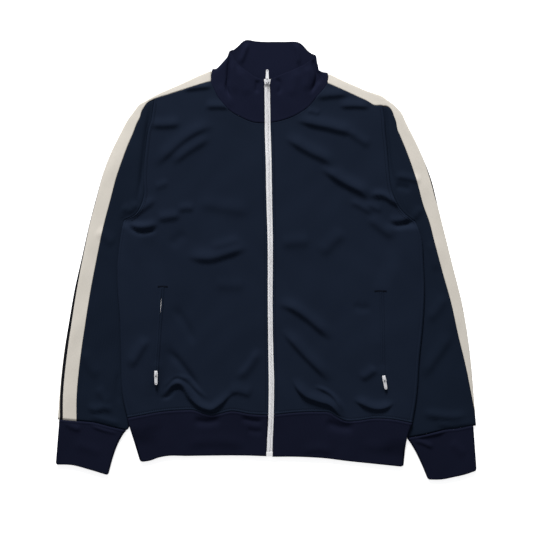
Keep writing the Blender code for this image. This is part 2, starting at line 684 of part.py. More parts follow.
def make_front(side, finish):
    sign = SIGN[side]
    outer, yoke = body_edge(side, True)
    seam = smooth(HEM_SEAM[side], count=FRONT_COLUMNS + 1)
    seam[:, 1] += SEAM / 2
    outer[0] = seam[-1]
    neck = smooth(collar_seam(side), count=FRONT_COLUMNS - SHOULDER_ROWS + 1)
    top = np.vstack([yoke[::-1], inset(neck, -0.8)[::-1][1:]])
    ups = np.linspace(seam[0, 1], top[-1, 1], len(outer))
    zip_line = np.stack([sign * zip_middle(ups) + ZIP_HALF + SEAM, ups], axis=1)
    seam[0], top[-1] = zip_line[0], zip_line[-1]
    plan = coons(seam[::-1], top, outer, zip_line)
    grid = stack(plan, front_height(sign * plan[..., 0], plan[..., 1]))
    cloth(f"front_{side}", on_side(side, grid), CLOTH, finish)


def make_back(finish):
    edges = {}
    for side, sign in SIGN.items():
        outer, yoke = body_edge(side, False)
        outer[0] += (0.0, SEAM / 2)
        edges[side] = (outer * (sign, 1.0), yoke * (sign, 1.0))
    (right, right_yoke), (left, left_yoke) = edges["right"], edges["left"]
    share = np.linspace(0.0, 1.0, BACK_COLUMNS + 1)[:, None]
    bottom = right[0] + (left[0] - right[0]) * share
    bottom[:, 1] += 6.0 * np.sin(np.pi * share[:, 0])
    neck = np.array([row[:2] for row in COLLAR[10:13]]) - (0.0, 0.9)
    neck_count = BACK_COLUMNS - 2 * SHOULDER_ROWS + 1
    arc = smooth(np.vstack([right_yoke[0], neck, left_yoke[0]]), count=neck_count)
    top = np.vstack([right_yoke[::-1], arc[1:-1], left_yoke])
    plan = coons(bottom, top, right, left)
    grid = stack(plan, CLOTH / 2 + raised(plan[..., 0], plan[..., 1]))
    cloth("back", grid, CLOTH, finish)


def make_hem(finish):
    """The hem rib: from the zip round the right side, the back and the left side to the zip."""
    rows = 4
    share = np.linspace(0.0, 1.0, rows)
    fronts, backs = {}, {}
    for side, sign in SIGN.items():
        seam = smooth(HEM_SEAM[side], count=FRONT_COLUMNS + 1)
        edge = smooth(HEM_EDGE[side], count=FRONT_COLUMNS + 1)
        seam[:, 1] -= SEAM / 2
        middle = np.linspace(seam[0, 1], edge[0, 1], rows)
        near_zip = np.stack([sign * zip_middle(middle) + ZIP_HALF + SEAM, middle], axis=1)
        seam[0], edge[0] = near_zip[0], near_zip[-1]
        outer = seam[-1] + (edge[-1] - seam[-1]) * share[:, None]
        plan = coons(seam, edge, near_zip, outer)
        plan[:, -1, 0] -= RIB_RISE / 2
        plan = plan * (sign, 1.0)
        low = raised(plan[..., 0], plan[..., 1])
        spread = 1 - np.exp(-np.abs(np.abs(plan[..., 0]) - np.abs(plan[:, -1:, 0])) / EDGE_FALL)
        crest = folds(plan[..., 0], plan[..., 1]) * spread
        fronts[side] = stack(plan, RIB / 2 + low + RIB_RISE + RIB_SWELL * spread + crest)
        backs[side] = stack(plan[:, -1], RIB / 2 + low[:, -1])
    share = np.linspace(0.0, 1.0, 13)[None, :, None]
    back = backs["right"][:, None] * (1 - share) + backs["left"][:, None] * share
    back[..., 1] += 5.0 * np.sin(np.pi * share[..., 0])
    back[..., 2] = RIB / 2 + raised(back[..., 0], back[..., 1])
    away = np.tile((1.0, 0.0), (rows, 1))
    right_turn, _ = fold_over(fronts["right"][:, -1], back[:, 0], -away)
    left_turn, _ = fold_over(fronts["left"][:, -1], back[:, -1], away)
    grid = np.concatenate([fronts["right"], right_turn, back, left_turn[:, ::-1],
                           fronts["left"][:, ::-1]], axis=1)
    cloth("hem_rib", grid, RIB, finish)


def make_collar(finish):
    table = np.array(COLLAR, float).reshape(len(COLLAR), 3, 3)
    lines = [smooth_space(table[:, level], 44) for level in range(3)]
    rows = 6
    grid = []
    for share in np.linspace(0.0, 1.0, rows):
        low = 2 * (share - 0.5) * (share - 1.0)
        mid = 4 * share * (1.0 - share)
        high = 2 * share * (share - 0.5)
        grid.append(low * lines[0] + mid * lines[1] + high * lines[2])
    cloth("collar", np.array(grid)[:, ::-1], RIB, finish)


def smooth_space(rows, count):
    """Points on a smooth curve through rows of x, y, z, denser where the rows are."""
    knots = np.arange(len(rows), dtype=float)
    at = np.linspace(0.0, knots[-1], count)
    slopes = np.gradient(rows, axis=0)
    cell = np.clip(at.astype(int), 0, len(rows) - 2)
    t = (at - cell)[:, None]
    return ((2 * t**3 - 3 * t**2 + 1) * rows[cell] + (t**3 - 2 * t**2 + t) * slopes[cell]
            + (3 * t**2 - 2 * t**3) * rows[cell + 1] + (t**3 - t**2) * slopes[cell + 1])


# ---------------------------------------------------------------- zip and pockets

def surface_under(names):
    """A function that gives the height of the highest of the named parts at x, y."""
    graph = bpy.context.evaluated_depsgraph_get()
    trees = [BVHTree.FromObject(bpy.data.objects[name], graph) for name in names]

    def height(x, y):
        start = Vector((x * MM, y * MM, 1.0))
        hits = [tree.ray_cast(start, Vector((0.0, 0.0, -1.0)))[0] for tree in trees]
        return max(hit.z / MM for hit in hits if hit is not None)
    return height


def make_zip(finish):
    """The two sides of the closed zip, from the top of the collar to the box at the hem."""
    ups = np.linspace(ZIP_TOP, ZIP_BOTTOM, 36)
    middle = zip_middle(ups)
    front = front_height(middle, ups)
    collar = np.array(COLLAR)[-1].reshape(3, 3)
    high = np.interp(ups, collar[:, 1], collar[:, 2])
    height = np.where(ups > collar[0, 1], high, front)
    for side, sign in SIGN.items():
        columns = [np.stack([middle + sign * x, ups, height], axis=1) for x in (SEAM / 2, ZIP_HALF)]
        cloth(f"zip_tape_{side}", np.stack(columns, axis=1), ZIP_WALL, finish)


def make_pocket(side, lips, teeth, height):
    """The welt round a pocket's slit, and the closed zip in it."""
    pocket = POCKET[side]
    top, bottom = np.array(pocket["top"]), np.array(pocket["bottom"])
    down = (bottom - top) / np.linalg.norm(bottom - top)
    across = np.array([-down[1], down[0]])
    count = 19
    spots = top + (bottom - top) * np.linspace(0.0, 1.0, count)[:, None]
    edges = []
    for half, end in ((WELT["slot"] / 2, 0.0), (WELT["width"] / 2, WELT["end"])):
        stretch = np.linspace(-end, end, count)[:, None] * down
        lip = spots + stretch
        edges.append(np.vstack([lip + across * half, lip[::-1] - across * half]))
    plan = np.array(edges)
    heights = np.array([[height(x, y) for x, y in row] for row in plan])
    cloth(f"pocket_welt_{side}", stack(plan, heights + LAID_ON + WELT["wall"] / 2), WELT["wall"],
          lips, loop=True)
    inside = spots[0] + (spots[-1] - spots[0]) * np.linspace(0.004, 0.996, count)[:, None]
    half = across * POCKET_ZIP["width"] / 2
    plan = np.stack([inside - half, inside + half], axis=1)
    heights = np.array([[height(x, y) for x, y in row] for row in plan])
    cloth(f"pocket_zip_{side}", stack(plan, heights + LAID_ON + POCKET_ZIP["wall"] / 2),
          POCKET_ZIP["wall"], teeth)


def block(name, size, middle, bevel=0.0, tail=1.0, finish=None):
    """A box in millimetres, with rounded edges if wanted, whose -y end is narrower by tail. One
    without a finish is only a guide for cutting or joining."""
    made = bmesh.new()
    bmesh.ops.create_cube(made, size=1.0)
    for vert in made.verts:
        narrow = tail if vert.co.y < 0 else 1.0
        shape = (vert.co.x * narrow, vert.co.y, vert.co.z)
        vert.co = [(c * d + m) * MM for c, d, m in zip(shape, size, middle)]
    mesh = bpy.data.meshes.new(name)
    made.to_mesh(mesh)
    made.free()
    if finish:
        part = add(name, mesh, finish)
    else:
        part = guide(name, mesh)
    if bevel:
        edge = part.modifiers.new("edges", "BEVEL")
        edge.width = bevel * MM
        edge.segments = 2
    return part


def guide(name, mesh):
    part = bpy.data.objects.new(name, mesh)
    guides.objects.link(part)
    part.hide_render = True
    part.display_type = "WIRE"
    return part


def combine(part, other, operation):
    change = part.modifiers.new(other.name, "BOOLEAN")
    change.operation = operation
    change.solver = "EXACT"
    change.object = other
    other.parent = part


def make_slider(name, kind, place, turn, face, finish):
    """A slider that lies on a zip, with the arch that holds its pull."""
    size = SLIDER[kind]["size"]
    slider = block(name, size, (0, 0, size[2] / 2), 0.5, SLIDER[kind]["tail"], finish)
    sunk = 0.4
    arch = block(f"{name}_arch", (BRIDGE[0], BRIDGE[1], BRIDGE[2] + sunk),
                 (0, 0, size[2] + (BRIDGE[2] - sunk) / 2), 0.35)
    inside = BRIDGE[2] - BRIDGE_WALL
    window = block(f"{name}_window", (2 * BRIDGE[0], BRIDGE[1] - 2 * BRIDGE_WALL, inside),
                   (0, 0, size[2] + inside / 2))
    combine(slider, arch, "UNION")
    combine(slider, window, "DIFFERENCE")
    slider.location = (place[0] * MM, place[1] * MM, face * MM)
    slider.rotation_euler.z = math.radians(turn)


def make_pull(name, kind, place, turn, face, finish):
    """A pull on its pivot, with a rounded end, the window that goes over the arch and a hole."""
    rows = PULL[kind]["width"]
    tip, radius = rows[-1][0], rows[-1][1] / 2
    right = [(width / 2, up) for up, width in rows]
    end = [(radius * math.cos(turning), tip + radius * math.sin(turning))
           for turning in np.linspace(0.0, math.pi, 9)[1:-1]]
    outline = right + end + [(-out, up) for out, up in reversed(right)]
    made = bmesh.new()
    corners = [made.verts.new((x * MM, y * MM, -PULL_WALL / 2 * MM)) for x, y in outline]
    face_below = made.faces.new(corners)
    raised_part = bmesh.ops.extrude_face_region(made, geom=[face_below])["geom"]
    upper = [item for item in raised_part if isinstance(item, bmesh.types.BMVert)]
    bmesh.ops.translate(made, verts=upper, vec=(0, 0, PULL_WALL * MM))
    bmesh.ops.recalc_face_normals(made, faces=made.faces)
    mesh = bpy.data.meshes.new(name)
    made.to_mesh(mesh)
    made.free()
    pull = add(name, mesh, finish)
    edge = pull.modifiers.new("edges", "BEVEL")
    edge.width = 0.35 * MM
    edge.segments = 2
    eye = block(f"{name}_eye", (PULL_EYE[0], PULL_EYE[1] - PULL_BAR, 2 * PULL_WALL),
                (0, (PULL_EYE[1] + PULL_BAR) / 2, 0))
    made = bmesh.new()
    bmesh.ops.create_cone(made, cap_ends=True, segments=16, radius1=PULL_HOLE / 2 * MM,
                          radius2=PULL_HOLE / 2 * MM, depth=2 * PULL_WALL * MM)
    bmesh.ops.translate(made, verts=made.verts, vec=(0, tip * MM, 0))
    mesh = bpy.data.meshes.new(f"{name}_hole")
    made.to_mesh(mesh)
    made.free()
    combine(pull, eye, "DIFFERENCE")
    combine(pull, guide(f"{name}_hole", mesh), "DIFFERENCE")
    pull.location = (place[0] * MM, place[1] * MM, (face + SLIDER[kind]["size"][2] + PIVOT_HEIGHT) * MM)
    pull.rotation_euler = (-math.radians(PULL[kind]["droop"]), 0.0, math.radians(turn))


def highest(height, place, size):
    """The highest point of what lies under a slider."""
    reach = np.linspace(-0.5, 0.5, 5)
    return max(height(place[0] + i * size[0], place[1] + j * size[1]) for i in reach for j in reach)


# ---------------------------------------------------------------- scene

for old in list(bpy.data.objects):
    bpy.data.objects.remove(old, do_unlink=True)
guides = bpy.data.collections.new("guides")
bpy.context.scene.collection.children.link(jacket)
bpy.context.scene.collection.children.link(guides)

navy_cloth = material("navy_cloth", NAVY, 0.75)
navy_rib = material("navy_rib", RIB_NAVY, 0.85)
cream_band = material("cream_band", CREAM, 0.8)
zip_white = material("zip_white", ZIP_WHITE, 0.5)
pull_white = material("pull_white", METAL_WHITE, 0.35)

make_back(navy_cloth)
for side in SIGN:
    make_bands(side, cream_band, navy_cloth)
    make_sleeve(side, navy_cloth)
    make_cuff(side, navy_rib)
    make_front(side, navy_cloth)
make_hem(navy_rib)
make_collar(navy_rib)
make_zip(zip_white)

block("zip_box", ZIP_BOX, (*ZIP_BOX_AT, 5.0), 0.6, 1.0, zip_white)

height = surface_under(["front_right", "front_left"])
for side in SIGN:
    make_pocket(side, navy_cloth, zip_white, height)
on_zip = surface_under(["zip_tape_right", "zip_tape_left", "collar"])
place = SLIDER["zip"]["place"]
face = highest(on_zip, place, SLIDER["zip"]["size"]) + SEAM
make_slider("zip_slider", "zip", place, 0.0, face, pull_white)
make_pull("zip_pull", "zip", place, 0.0, face, pull_white)
for side in SIGN:
    on_pocket = surface_under([f"pocket_welt_{side}", f"front_{side}"])
    place, turn = POCKET[side]["slider"], POCKET[side]["turn"]
    face = highest(on_pocket, place, SLIDER["pocket"]["size"]) + SEAM
    make_slider(f"pocket_slider_{side}", "pocket", place, turn, face, pull_white)
    make_pull(f"pocket_pull_{side}", "pocket", place, turn, face, pull_white)
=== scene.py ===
import math

import bpy
import numpy as np
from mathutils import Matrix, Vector
from mathutils.bvhtree import BVHTree


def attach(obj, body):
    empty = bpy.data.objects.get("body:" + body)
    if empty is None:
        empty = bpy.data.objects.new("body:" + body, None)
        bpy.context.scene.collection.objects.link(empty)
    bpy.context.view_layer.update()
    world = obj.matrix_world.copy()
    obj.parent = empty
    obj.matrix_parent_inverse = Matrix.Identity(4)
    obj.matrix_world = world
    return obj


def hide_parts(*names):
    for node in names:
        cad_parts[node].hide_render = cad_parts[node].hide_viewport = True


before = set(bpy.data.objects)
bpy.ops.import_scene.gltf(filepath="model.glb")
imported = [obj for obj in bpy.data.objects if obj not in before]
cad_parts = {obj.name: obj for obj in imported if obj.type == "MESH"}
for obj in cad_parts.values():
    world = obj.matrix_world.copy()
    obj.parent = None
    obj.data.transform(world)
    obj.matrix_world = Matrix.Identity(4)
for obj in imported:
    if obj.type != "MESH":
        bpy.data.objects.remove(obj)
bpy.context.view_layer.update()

# Sizes are in millimetres: x to the viewer's right, y up the garment, z up from the floor. "Out"
# is the distance from the middle, outwards. Sides are the wearer's, so the right has negative x.
MM = 0.001
SIGN = {"right": -1.0, "left": 1.0}


# ---------------------------------------------------------------- floor, light and camera
# The jacket lies on a white board, lit from within as a light table is. A large soft box stands
# low past the collar, and the camera looks straight down from three metres.

BOARD_HALF = 3.0
BOARD_TOP = -0.0004      # just under the jacket, which rests at 0
board = bpy.data.meshes.new("board")
corners = [(x * BOARD_HALF, y * BOARD_HALF, BOARD_TOP)
           for x, y in ((-1, -1), (1, -1), (1, 1), (-1, 1))]
board.from_pydata(corners, [], [(0, 1, 2, 3)])
floor = bpy.data.objects.new("board", board)
bpy.context.scene.collection.objects.link(floor)
board_paint = bpy.data.materials.new("board_paint")
board_paint.use_nodes = True
board_shader = board_paint.node_tree.nodes["Principled BSDF"]
board_shader.inputs["Base Color"].default_value = (0.92, 0.92, 0.92, 1.0)
board_shader.inputs["Roughness"].default_value = 0.9
board_shader.inputs["Specular IOR Level"].default_value = 0.1
board_shader.inputs["Emission Color"].default_value = (1.0, 1.0, 1.0, 1.0)
board_shader.inputs["Emission Strength"].default_value = 0.7
board.materials.append(board_paint)

for name, place, size, watts in (("soft_box_top", (-0.8, 5.4, 2.5), 1.8, 640.0),
                                 ("soft_box_hem", (0.9, -2.2, 2.6), 2.2, 4.0)):
    lamp = bpy.data.lights.new(name, "AREA")
    lamp.size = size
    lamp.energy = watts
    holder = bpy.data.objects.new(name, lamp)
    holder.location = place
    holder.rotation_euler = Vector(place).to_track_quat("Z", "Y").to_euler()
    bpy.context.scene.collection.objects.link(holder)

room = bpy.data.worlds.new("room")
room.use_nodes = True
room.node_tree.nodes["Background"].inputs["Color"].default_value = (0.97, 0.98, 1.0, 1.0)
room.node_tree.nodes["Background"].inputs["Strength"].default_value = 0.3
bpy.context.scene.world = room
bpy.context.scene.view_settings.view_transform = "Standard"

EYE_HEIGHT = 3.0
SHOWN_WIDTH = 0.9594     # of the board, across the picture
eye = bpy.data.cameras.new("camera")
eye.sensor_width = 36.0
eye.lens = eye.sensor_width * EYE_HEIGHT / SHOWN_WIDTH
eye.clip_end = 20.0
camera = bpy.data.objects.new("camera", eye)
camera.location = (0.0006, -0.0122, EYE_HEIGHT)
bpy.context.scene.collection.objects.link(camera)
bpy.context.scene.camera = camera


# ---------------------------------------------------------------- side bands
# A cream band runs from the neck over each shoulder and down the sleeve, front and back, with a
# narrow navy strip between them. Knit tape cut along its length, sewn in by both edges.

def eased_between(rows, slopes, cell, t, span=1.0):
    """Points of a smooth curve that leaves each row with its slope, t of the way from the row
    numbered cell to the next, which is span away."""
    return ((2 * t**3 - 3 * t**2 + 1) * rows[cell] + (t**3 - 2 * t**2 + t) * span * slopes[cell]
            + (3 * t**2 - 2 * t**3) * rows[cell + 1] + (t**3 - t**2) * span * slopes[cell + 1])


def run_along(line):
    """Distance along a plan line from its start to each of its points."""
    return np.concatenate([[0.0], np.cumsum(np.hypot(*np.diff(line, axis=0).T))])


def smooth(table, at=None, count=None):
    """Points on a smooth curve through the rows of a table, by distance along its first two
    columns. Without places, count points are spread evenly."""
    rows = np.array(table, float)
    knots = run_along(rows[:, :2])
    slopes = np.gradient(rows, knots, axis=0)
    if at is None:
        at = np.linspace(0.0, knots[-1], count)
    cell = np.clip(np.searchsorted(knots, at, side="right") - 1, 0, len(knots) - 2)
    span = (knots[cell + 1] - knots[cell])[:, None]
    return eased_between(rows, slopes, cell, (at - knots[cell])[:, None] / span, span)


def ease(value):
    """0 below 0, 1 above 1, and smooth between."""
    t = np.clip(value, 0.0, 1.0)
    return t * t * (3 - 2 * t)


def nearest(x, y, line):
    """Distance from each point to a line, how far along it the nearest point is, 0 to 1, and
    which side of the line the point is on: over 0 to the left of its direction."""
    legs = np.diff(line, axis=0)
    lengths = np.hypot(*legs.T)
    starts = np.concatenate([[0.0], np.cumsum(lengths)])
    best = np.full(x.shape, np.inf)
    along, side = np.zeros(x.shape), np.ones(x.shape)
    for (x0, y0), (dx, dy), length, base in zip(line[:-1], legs, lengths, starts[:-1]):
        ax, ay = x - x0, y - y0
        t = np.clip((ax * dx + ay * dy) / length**2, 0.0, 1.0)
        away = np.hypot(ax - t * dx, ay - t * dy)
        closer = away < best
        best = np.where(closer, away, best)
        along = np.where(closer, (base + t * length) / starts[-1], along)
        side = np.where(closer, dx * ay - dy * ax, side)
    return best, along, side


def creases(table, x, y):
    """Height that a table of soft ridges, or troughs where it is below 0, adds to the cloth. Each
    has its reach to the left and to the right of its line."""
    total = np.zeros(x.shape)
    for height, left, right, line in table:
        curve = smooth(line, count=5 * len(line))[:, :2]
        margin = 2.5 * max(left, right)
        low, high = curve.min(axis=0) - margin, curve.max(axis=0) + margin
        near = (x > low[0]) & (x < high[0]) & (y > low[1]) & (y < high[1])
        away, along, side = nearest(x[near], y[near], curve)
        reach = np.where(side > 0, left, right)
        ends = ease(along / 0.28) * ease((1 - along) / 0.28)
        total[near] += height * ends * np.exp(-(away / reach) ** 2)
    return total


def rumple(x, y):
    """The slight unevenness of knit cloth that was laid out by hand."""
    wave = np.sin(x / 13 + 2.1 * np.sin(y / 41)) * np.sin(y / 17 + 1.7 * np.sin(x / 37))
    broad = np.sin(x / 31 - y / 47 + 1.3) * np.sin(y / 39 + x / 83)
    return 0.32 * wave + 0.55 * broad


CLOTH_WALL = 1.2
FLOOR_MIDDLE = 0.65      # middle of the cloth that lies on the floor
FOLD_RISE = 2.5          # from there to the upper layer, at a folded edge
OPEN_RISE = 4.3          # the same, away from the edges
EDGE_FALL = 15.0         # how far from an edge the upper layer takes to rise
BAND_WIDTH = {"right": 24.8, "left": 24.0}
PIPING_WIDTH = 5.2
BAND_GAP = 0.12          # half of the line between two strips, where the stitches sink
BAND_ROWS = 170
BAND_COLUMNS = 20
PIPING_COLUMNS = 8
SLEEVE_START = {"right": 110.0, "left": 102.0}   # the armhole seam, from the neck
SHOULDER_ROWS = 40
NECK_LEAN = 42.0         # of the lower layer's rows, at the neck
NECK_REACH = 45.0        # from the neck to where both layers' rows lean alike

# Outer edge of shoulder and sleeve, from the neck to the cuff. band is the distance from this
# edge, along the cloth, to the front band's inner edge. lean is the direction of the cloth's
# rows across the band, in degrees from straight down, towards the middle of the garment.
OUTER_EDGE = {
    "right": [  # out, up, band, lean
        (99.4, 339.7, 18.4, 0), (119.2, 331.6, 16.2, 0), (159.4, 313.2, 10.8, -4),
        (179.5, 304.6, 8.9, -8), (193.0, 298.6, 6.9, -10), (204.8, 292.4, 5.4, -6),
        (213.6, 287.6, 5.6, -1), (220.9, 283.3, 9.6, 5), (227.2, 279.9, 13.7, 12),
        (237.0, 267.6, 17.2, 21), (246.7, 254.7, 20.0, 31), (260.5, 229.5, 21.9, 42),
        (276.6, 197.3, 24.5, 52), (292.6, 155.9, 25.5, 61), (304.1, 114.7, 26.0, 67),
        (315.6, 71.5, 26.0, 71), (331.3, 2.0, 27.0, 75), (343.9, -53.5, 29.0, 78),
        (354.0, -111.6, 30.0, 80), (362.8, -164.7, 31.0, 82), (371.8, -250.6, 32.0, 84),
        (374.5, -287.0, 34.6, 84.7)],
    "left": [
        (112.8, 334.3, 17.0, 8), (142.5, 320.0, 16.5, 4), (160.9, 312.1, 16.9, 1),
        (179.2, 304.0, 17.6, -3), (192.9, 299.3, 21.0, -6), (206.6, 294.6, 15.7, -8),
        (217.0, 287.6, 10.5, 0), (227.4, 279.9, 10.9, 8), (234.6, 273.6, 15.9, 15),
        (241.3, 266.2, 18.4, 22), (252.6, 243.2, 20.4, 36), (271.0, 206.5, 23.0, 49),
        (285.1, 174.2, 24.8, 58), (296.8, 142.2, 26.1, 65), (306.0, 105.7, 25.3, 70),
        (314.4, 71.5, 22.0, 73), (322.3, 40.2, 22.0, 75), (336.7, -17.8, 21.0, 78),
        (351.1, -75.2, 19.5, 80), (361.2, -132.7, 17.0, 81), (368.2, -189.9, 10.3, 81),
        (373.4, -252.5, 3.0, 80), (377.0, -298.0, -3.0, 79.6)],
}
EDGE_CURVE = {side: smooth(OUTER_EDGE[side], count=120)[:, :2] for side in SIGN}

# Side of the body, from the armpit to the hem seam: out, up
BODY_SIDE = {
    "right": [(256, 70), (263, 30), (267, -8), (267, -46), (263, -109), (261, -172), (257, -251),
              (249, -285)],
    "left": [(269, 67), (279, 37), (282, -3), (284, -61), (281, -118), (275, -176), (269, -253),
             (262, -294)],
}
SIDE_CURVE = {side: smooth(BODY_SIDE[side], count=120)[::-1] for side in SIGN}

# Creases of the sleeves' upper cloth, bands included: height, reach to the left and right of
# the line, line as x, y
SLEEVE_CREASES = [
    (3.0, 8, 4, [(-324, -262), (-308, -270), (-292, -267), (-272, -271)]),
    (2.4, 4, 3, [(-320, -281), (-302, -285), (-280, -291), (-258, -296)]),
    (-2.0, 6, 6, [(-262, -200), (-266, -230), (-262, -262)]),
    (2.0, 10, 7, [(-306, -228), (-292, -248), (-282, -262)]),
    (1.7, 12, 8, [(-330, -160), (-318, -190), (-300, -214)]),
    (1.5, 11, 8, [(-306, 54), (-288, 40), (-272, 26)]),
    (-2.9, 3.5, 5, [(-205, 288), (-209, 262), (-214, 230), (-219, 192), (-223, 158), (-229, 118),
                    (-236, 92)]),
    (-3.0, 4, 4, [(213, 286), (217, 240), (220, 200), (224, 160), (230, 127)]),
    (1.9, 9, 7, [(-262, 96), (-246, 90), (-230, 104)]),
    (2.6, 13, 8, [(278, -214), (300, -182), (322, -150), (334, -128)]),
    (3.2, 9, 5, [(276, -276), (300, -280), (336, -284), (368, -280)]),
    (2.4, 5, 4, [(300, -292), (324, -297), (350, -295), (374, -292)]),
    (1.7, 10, 8, [(288, -112), (306, -92), (326, -62)]),
    (2.2, 8, 5, [(228, 150), (246, 148), (268, 143), (280, 138)]),
    (-1.7, 6, 6, [(230, 132), (246, 130), (262, 126)]),
    (1.6, 10, 8, [(290, 36), (300, 10), (306, -24)]),
    (1.7, 8, 6, [(262, 62), (270, 80), (282, 96)]),
]


def side_of_body(side, up):
    """How far out the side of the body is."""
    return np.interp(up, SIDE_CURVE[side][:, 1], SIDE_CURVE[side][:, 0])


def from_side(side, out, up):
    """Distance from the side of the body, or from the armpit above it."""
    armpit = BODY_SIDE[side][0]
    beside = np.abs(out - side_of_body(side, up))
    return np.where(up < armpit[1], beside, np.hypot(out - armpit[0], up - armpit[1]))


def upper_rise(x, y, table):
    """Height of the upper layer's middle over the lower layer's, with its creases."""
    total = np.full(x.shape, OPEN_RISE)
    drop = OPEN_RISE - FOLD_RISE
    for side, sign in SIGN.items():
        mine = sign * x > 0
        edge = np.maximum(nearest(sign * x, y, EDGE_CURVE[side])[0] - FOLD_RISE / 2, 0.0)
        near = np.exp(-edge / EDGE_FALL) + np.exp(-from_side(side, sign * x, y) / EDGE_FALL)
        total -= np.where(mine, drop * np.minimum(near, 1.0), 0.0)
    return total + (creases(table, x, y) + rumple(x, y)) * ease((total - FOLD_RISE) / (0.6 * drop))


def sleeve_top(side, out, up):
    """Middle of the sleeve's upper cloth, which is pressed flat where the body lies on it."""
    hidden = (out < side_of_body(side, up)) & (up < BODY_SIDE[side][0][1])
    rise = upper_rise(SIGN[side] * out, up, SLEEVE_CREASES)
    return FLOOR_MIDDLE + np.where(hidden, FOLD_RISE, rise)


def edge_rows(side):
    """Rows along the outer edge: out, up, band, and the inward directions above and below. The
    band's distances are longer where the rows cross it aslant."""
    table = OUTER_EDGE[side]
    total = float(np.hypot(*np.diff(np.array(table)[:, :2], axis=0).T).sum())
    start = SLEEVE_START[side]
    share = np.linspace(0.0, 1.0, BAND_ROWS + 1)
    sleeve = start + (total - start) * (0.72 * share + 0.28 * share**2)
    places = np.concatenate([np.linspace(0.0, start, SHOULDER_ROWS + 1), sleeve[1:]])
    rows = smooth(table, at=places)
    after = smooth(table, at=np.minimum(places + 4, total))[:, :2]
    run = after - smooth(table, at=np.maximum(places - 4, 0))[:, :2]
    normal = np.degrees(np.arctan2(-run[:, 1], run[:, 0]))
    near_neck = np.clip(1 - places / NECK_REACH, 0.0, 1.0)
    inward, slant = {}, {}
    for layer, neck_lean in (("above", rows[:, 3]), ("below", NECK_LEAN)):
        lean = rows[:, 3] * (1 - near_neck) + neck_lean * near_neck
        turn = np.radians(lean)
        inward[layer] = np.stack([-np.sin(turn), -np.cos(turn)], axis=1)
        slant[layer] = 1 / np.cos(np.radians(np.clip(lean - normal, -40.0, 40.0)))
    return rows, inward, slant


def beside_edge(side, columns, rows=slice(None)):
    """Middle points of the cloth beside the outer edge, as out, up, z. columns gives, for each
    row and column, the distance from the edge along the cloth: over 0 above, under 0 below."""
    frame_rows, inward, slant = edge_rows(side)
    frame_rows = frame_rows[rows]
    radius = FOLD_RISE / 2
    quarter = math.pi / 2 * radius
    above = columns > 0
    away = np.abs(columns)
    angle = np.minimum(away, quarter) / radius
    flat = np.maximum(away - quarter, 0.0)
    flat *= np.where(above, slant["above"][rows][:, None], slant["below"][rows][:, None])
    depth = radius * (1 - np.cos(angle)) + flat
    direction = np.where(above[..., None], inward["above"][rows][:, None],
                         inward["below"][rows][:, None])
    plan = frame_rows[:, None, :2] + direction * depth[..., None]
    way = np.where(above, 1.0, -1.0)
    turning = FLOOR_MIDDLE + radius + way * radius * np.sin(angle)
    top = sleeve_top(side, plan[..., 0], plan[..., 1])
    height = np.where(away < quarter, turning, np.where(above, top, FLOOR_MIDDLE))
    return np.concatenate([plan, height[..., None]], axis=-1)


def between(start, stop, count):
    """Columns from start to stop, which are numbers for each row, closer together where they
    go round the edge."""
    quarter = math.pi / 4 * FOLD_RISE
    crowd = 3.0
    low, high = (edge + crowd * np.clip(edge, -quarter, quarter) for edge in (start, stop))
    share = np.linspace(0.0, 1.0, count)[None, :]
    wide = low[:, None] * (1 - share) + high[:, None] * share
    limit = quarter * (1 + crowd)
    return np.where(np.abs(wide) < limit, wide / (1 + crowd), wide - np.sign(wide) * crowd * quarter)


def measured(grid):
    """Millimetres along a grid's middle column and across its middle row."""
    down = np.linalg.norm(np.diff(grid[:, grid.shape[1] // 2], axis=0), axis=1)
    over = np.linalg.norm(np.diff(grid[grid.shape[0] // 2], axis=0), axis=1)
    along = np.concatenate([[0.0], np.cumsum(down)])[:, None] + np.zeros(grid.shape[:2])
    across = np.concatenate([[0.0], np.cumsum(over)])[None, :] + np.zeros(grid.shape[:2])
    return along, across


def built(name, points, faces, finish):
    """An object in the scene, from points in millimetres."""
    mesh = bpy.data.meshes.new(name)
    mesh.from_pydata((np.array(points) * MM).tolist(), [], faces)
    mesh.materials.append(finish)
    piece = bpy.data.objects.new(name, mesh)
    bpy.context.scene.collection.objects.link(piece)
    return piece


def cloth(name, grid, wall, finish, loop=False, across=None, opened=None):
    """A wall of cloth round the grid, which is its middle. Its points keep their place along and
    across the cloth, for the knit. With loop, the last column joins the first. The cells where
    opened is true are left out."""
    grid[..., 2] = np.maximum(grid[..., 2], wall / 2 + 0.05)
    rows, columns = grid.shape[:2]
    j, i = np.mgrid[0:rows - 1, 0:columns if loop else columns - 1]
    k = (i + 1) % columns
    low, high = j * columns, (j + 1) * columns
    cells = np.stack([low + i, low + k, high + k, high + i], axis=-1)
    cells = cells.reshape(-1, 4) if opened is None else cells[~opened]
    used, cells = np.unique(cells, return_inverse=True)
    piece = built(name, grid.reshape(-1, 3)[used], cells.reshape(-1, 4).tolist(), finish)
    piece.data.shade_smooth()
    along, over = measured(grid)
    for label, values in (("along", along), ("across", over if across is None else across)):
        kept = piece.data.attributes.new(label, "FLOAT", "POINT")
        kept.data.foreach_set("value", values.ravel()[used].astype(np.float32))
    shell = piece.modifiers.new("wall", "SOLIDIFY")
    shell.thickness = wall * MM
    shell.offset = 0.0
    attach(piece, "jacket")
    return piece


def mirrored(side, points):
    """Points given as out, up, z as real x, y, z."""
    return points * np.array([SIGN[side], 1.0, 1.0])


